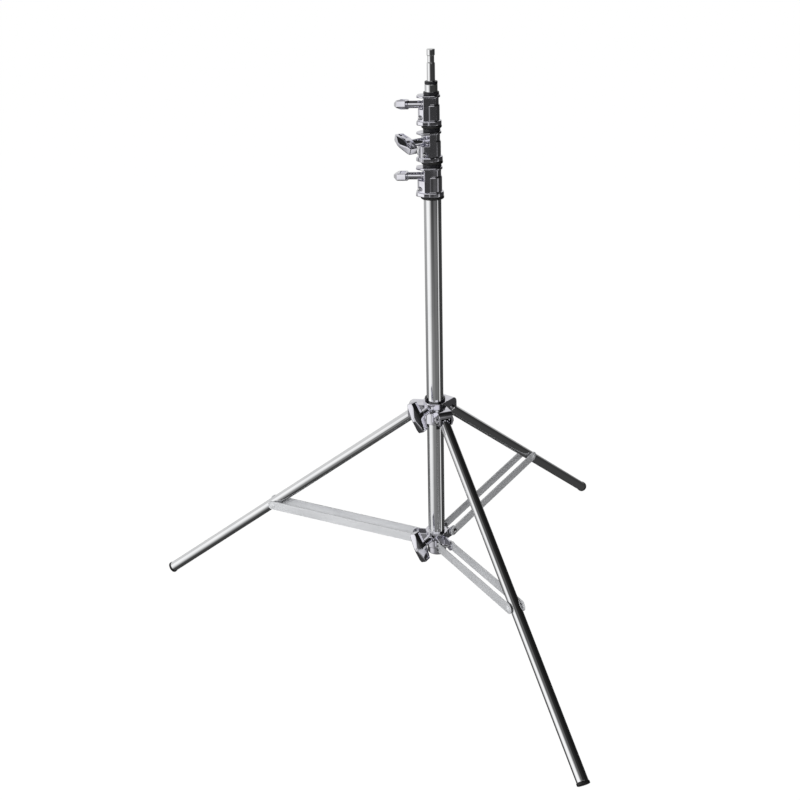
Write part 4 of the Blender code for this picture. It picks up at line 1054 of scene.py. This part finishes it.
fork_side = [(0.5 * HUB_BORE, FORK_FOOT - 0.002), (HUB_OUTER, FORK_FOOT - 0.002),
             (LEG_REACH - 0.003, FORK_FOOT),
             *arc((FORK_TIP - FORK_NOSE, FORK_FOOT + NOSE_RISE), FORK_NOSE, NOSE_START, 0.0, 8),
             *shoulder(0.0), (0.5 * HUB_BORE, FORK_TOP)]
fork_hollow = [(HUB_OUTER + 0.0002, FORK_FOOT - 0.01), (FORK_TIP + 0.01, FORK_FOOT - 0.01),
               (FORK_TIP + 0.01, FORK_TOP - FORK_SHOULDER), *shoulder(FORK_ROOF),
               (HUB_OUTER + 0.0002, FORK_TOP - FORK_ROOF)]
forks, hollows = [], []
for azimuth in LEG_AZIMUTHS.values():
    middle = across(azimuth)
    forks.append(plate(fork_side, -FORK_OUTER, FORK_OUTER, middle, FORK_EDGE, 3))
    hollows.append(plate(fork_hollow, -FORK_INNER, FORK_INNER, middle, FORK_INNER_EDGE))
    hollows.append(cross_hole(FORK_BOLT_HOLE, across(azimuth, LEG_REACH, LEG_PIVOT_HEIGHT)))
hub = cast_hub("leg_hub", HUB_BORE, HUB_OUTER, HUB_SCREW_HEIGHT, 0.0028, forks, hollows)
print("leg hub faces", len(hub.data.polygons))

# %% [markdown]
# A black bush lines the leg hub. It shows as two ears above the hub and as four tongues below it.
# It is turned with its full flange and skirt, and wedges cut away what stands between the ears and
# between the tongues.

# %% Bush of the leg hub
EAR_AZIMUTH, EAR_ANGLE, LIP_HEIGHT = -113.0, 64.0, 0.0003
TONGUES, TONGUE_AZIMUTH, TONGUE_ANGLE = 4, -5.0, 24.0
HUB_BUSH_OUT, WEDGE_REACH = 0.0036, 0.04


def wedge(start, sweep, low, high, steps):
    """Cutter in the shape of a slice of cake about the mast axis."""
    rim = arc((0.0, 0.0), WEDGE_REACH, start, start + sweep, steps)
    return plate([(0.0, 0.0), *rim], low, high)


_, bush_foot, bush_top = span("leg_hub_bush")
inner, seat = MAST_RADIUS + GAP, leg_hub_top + GAP
bush = turned(rounded([
    (inner, bush_foot, 0.0005), (inner + BUSH_WALL, bush_foot, 0.0008),
    (inner + BUSH_WALL, seat, 0.0), (inner + HUB_BUSH_OUT, seat, 0.0008),
    (inner + HUB_BUSH_OUT, bush_top, 0.0018), (inner, bush_top, 0.0008)]), BODY_SIDES)
windows = [wedge(EAR_AZIMUTH - 90.0 + 0.5 * EAR_ANGLE + half_turn, 180.0 - EAR_ANGLE,
                 seat + LIP_HEIGHT, bush_top + PAST, 12) for half_turn in (0.0, 180.0)]
windows += [wedge(TONGUE_AZIMUTH + 0.5 * TONGUE_ANGLE + index * 90.0, 90.0 - TONGUE_ANGLE,
                  bush_foot - PAST, leg_hub_foot + PAST, 6) for index in range(TONGUES)]
place_piece(casting("leg_hub_bush_moulded", bush, (), windows), "leg_hub_bush", NYLON)
print("windows cut into the bush", len(windows))

# %% [markdown]
# The brace hub is clamped low on the base tube by its own T-lever. Three pairs of lugs stand out
# from its ring, with round ends about the brace pivots. Under it the foot of the mast ends in a
# plated cup. Inside the mast, out of sight, a plug on the foot of each riser slides in the tube
# below.

# %% Brace hub
BRACE_REACH, BRACE_LUG = 0.0430, 0.0110
BRACE_SIDE, BRACE_THICK, BRACE_HALF = 0.0130, 0.0030, 0.0100
LUG_FACE = BRACE_SIDE - GAP
LUG_BACK = LUG_FACE - 0.0035
BRACE_PIN_HOLE = 0.0035

lug = [(0.5 * BRACE_BORE, BRACE_PIVOT_HEIGHT - BRACE_LUG),
       *arc((BRACE_REACH, BRACE_PIVOT_HEIGHT), BRACE_LUG, -90.0, 90.0, 24),
       (0.5 * BRACE_BORE, BRACE_PIVOT_HEIGHT + BRACE_LUG)]
lugs, pin_holes = [], []
for azimuth in LEG_AZIMUTHS.values():
    for low, high in ((LUG_BACK, LUG_FACE), (-LUG_FACE, -LUG_BACK)):
        lugs.append(plate(lug, low, high, across(azimuth), 0.0008, 3))
    pin_holes.append(cross_hole(BRACE_PIN_HOLE, across(azimuth, BRACE_REACH, BRACE_PIVOT_HEIGHT)))
hub = cast_hub("brace_hub", BRACE_BORE, BRACE_OUTER, BRACE_SCREW_HEIGHT, 0.0014, lugs, pin_holes)
print("brace hub faces", len(hub.data.polygons))

# %% Cup and plugs
PLUG_HEAD = 0.006

cup_radius, cup_foot, cup_top = span("base_cup")
cup_bore, cup_floor = MAST_RADIUS + GAP, span("base_tube")[1] - GAP
turned_piece("base_cup", "pressed", CASTING, rounded([
    (0.0, cup_foot, 0.0), (cup_radius, cup_foot, 0.0022), (cup_radius, cup_top, 0.0010),
    (cup_bore, cup_top, 0.0004), (cup_bore, cup_floor, 0.0), (0.0, cup_floor, 0.0)]))
for plug in ("riser_1_plug", "riser_2_plug", "riser_3_plug"):
    head, foot, top = span(plug)
    shank = head - TUBE_WALL - GAP
    turned_piece(plug, "moulded", NYLON, on_axis([
        (head, foot, 0.0010), (head, foot + PLUG_HEAD, 0.0003), (shank, foot + PLUG_HEAD, 0.0),
        (shank, top, 0.0010)]), PIN_SIDES)
print("cup", round(2000 * cup_radius), "mm wide")

# %% [markdown]
# Each leg is one tube. Its axis runs down and out at the spread angle from the bolt in the fork,
# and its finish has its drawn lines along it, so each leg gets its own copy of the tube finish,
# turned to its axis. The black foot is a thick cap with a plug inside the tube.

# %% Legs and feet
LEG_SPREAD, LEG_LENGTH, LEG_TOP = 52.7, 0.7285, 0.0120
FOOT_RADIUS, FOOT_CAP, FOOT_PLUG = 0.0122, 0.0048, 0.0180
FOOT_EDGE, FOOT_RIM = 0.0010, 0.0008
BRACE_PIN_REACH = 0.405
LEG_SIDES = 72


def leg_frame(azimuth):
    """Frame at a leg's hinge: Z down the leg, X towards the floor."""
    spread = math.radians(LEG_SPREAD)
    down = radial(azimuth) * math.sin(spread) - Z_AXIS * math.cos(spread)
    under = lateral(azimuth).cross(down)
    pivot = radial(azimuth) * LEG_REACH + Z_AXIS * LEG_PIVOT_HEIGHT
    return basis(under, down.cross(under), down, pivot)


def brace_pin_place(azimuth):
    """Frame of the pin that joins a leg to its braces."""
    point = leg_frame(azimuth) @ Vector((0.0, 0.0, BRACE_PIN_REACH))
    return across(azimuth, point.dot(radial(azimuth)), point.z)


for label, azimuth in LEG_AZIMUTHS.items():
    place = leg_frame(azimuth)
    wall = tube_wall(LEG_RADIUS - LEG_WALL, LEG_RADIUS, -LEG_TOP, LEG_LENGTH - FOOT_CAP - GAP)
    holes = (cross_hole(FORK_BOLT_HOLE, across(azimuth, LEG_REACH, LEG_PIVOT_HEIGHT)),
             cross_hole(BRACE_PIN_HOLE, brace_pin_place(azimuth)))
    leg = casting(label + "_leg_drawn", turned(wall, LEG_SIDES, place), (), holes)
    place_piece(leg, label + "_leg", plated_tube(label + "_leg_chrome", tuple(place.to_euler())))
    inner, plug_end = LEG_RADIUS - LEG_WALL - GAP, -FOOT_CAP - FOOT_PLUG
    turned_piece(label + "_foot", "moulded", RUBBER, on_axis([
        (inner, plug_end, FOOT_EDGE), (inner, -FOOT_CAP, 0.0), (FOOT_RADIUS, -FOOT_CAP, FOOT_RIM),
        (FOOT_RADIUS, 0.0, FOOT_EDGE)]), LEG_SIDES,
        place @ Matrix.Translation((0.0, 0.0, LEG_LENGTH)))
print("leg", round(1000 * LEG_LENGTH, 1), "mm, spread", LEG_SPREAD, "degrees")

# %% [markdown]
# Each brace is a pair of flat strips, one on each side of its leg, with round ends. At the leg they
# turn on a pin with a washer on each side and are closed by a domed rivet head, and at the hub they
# turn on a bolt. The brushing runs along the strip.

# %% Brace strips
PIN_SHANK = 0.0032
RIVET_RADIUS, RIVET_HEIGHT, RIVET_RIM, RIVET_SUNK = 0.0058, 0.0026, 0.0008, 0.001
STRIP_EDGE = 0.0005


def brace_strip(label, azimuth, letter, side):
    """Finished strip on one side of a leg, with its rivet head, and its length between pivots."""
    root = radial(azimuth) * BRACE_REACH + Z_AXIS * BRACE_PIVOT_HEIGHT
    line = brace_pin_place(azimuth).translation - root
    run = line.length
    line.normalize()
    normal = lateral(azimuth) * side
    place = basis(line, normal.cross(line), normal, root)
    outer, sunk = BRACE_SIDE + BRACE_THICK, BRACE_SIDE + RIVET_SUNK
    strip = plate(arc((run, 0.0), BRACE_HALF, -90.0, 90.0, 24)
                  + arc((0.0, 0.0), BRACE_HALF, 90.0, 270.0, 24), BRACE_SIDE, outer, place,
                  STRIP_EDGE)
    rivet = turned([(0.0, sunk), (RIVET_RADIUS, sunk),
                    *crown(RIVET_RADIUS, outer + RIVET_RIM, RIVET_HEIGHT - RIVET_RIM)],
                   BOLT_SIDES, place @ Matrix.Translation((run, 0.0, 0.0)))
    hole = bar(PIN_SHANK + GAP, 0.0, HALF_HOLE, 32, place)
    brushing = tuple((place @ Matrix.Rotation(math.radians(90.0), 4, 'Y')).to_euler())
    place_piece(casting(label + "_strip_" + letter, strip, (rivet,), (hole,)),
                label + "_brace_" + letter,
                satin_strip(label + "_brace_" + letter + "_satin", brushing))
    return run


print("strip", round(1000 * 2 * BRACE_HALF, 1), "mm broad")

# %% Strips, pins and hinge bolts of the braces
WASHER_RADIUS = 0.0062

for label, azimuth in LEG_AZIMUTHS.items():
    for letter, side in (("a", -1.0), ("b", 1.0)):
        run = brace_strip(label, azimuth, letter, side)
    end, near, rim = BRACE_SIDE - GAP, LEG_RADIUS + GAP, WASHER_RADIUS - BROKEN_EDGE
    pin = turned([(0.0, -end), (rim, -end), (WASHER_RADIUS, -end + BROKEN_EDGE),
                  (WASHER_RADIUS, -near), (PIN_SHANK, -near), (PIN_SHANK, near),
                  (WASHER_RADIUS, near), (WASHER_RADIUS, end - BROKEN_EDGE), (rim, end),
                  (0.0, end)], BOLT_SIDES, brace_pin_place(azimuth))
    place_piece(as_object(label + "_washer_pin", pin), label + "_leg_pin", BOLT_STEEL)
    domed_bolt(label + "_fork_bolt", label + "_leg_bolt",
               across(azimuth, LEG_REACH, LEG_PIVOT_HEIGHT), FORK_OUTER + GAP, SCREW_RADIUS,
               LARGE_BOLT)
    domed_bolt(label + "_hub_bolt", label + "_brace_bolt",
               across(azimuth, BRACE_REACH, BRACE_PIVOT_HEIGHT), BRACE_SIDE + BRACE_THICK + GAP,
               PIN_SHANK, LARGE_BOLT)
print("strips", 2 * len(LEG_AZIMUTHS), "of", round(1000 * (run + 2 * BRACE_HALF), 1), "mm")

# %% [markdown]
# Any piece of the imported model that is still shown must have a finish too, so what is left is
# listed.

# %% List the pieces still shown
shown = [name for name, item in frame["nodes"].items() if not item.hide_render]
print("packed pieces still shown", shown)
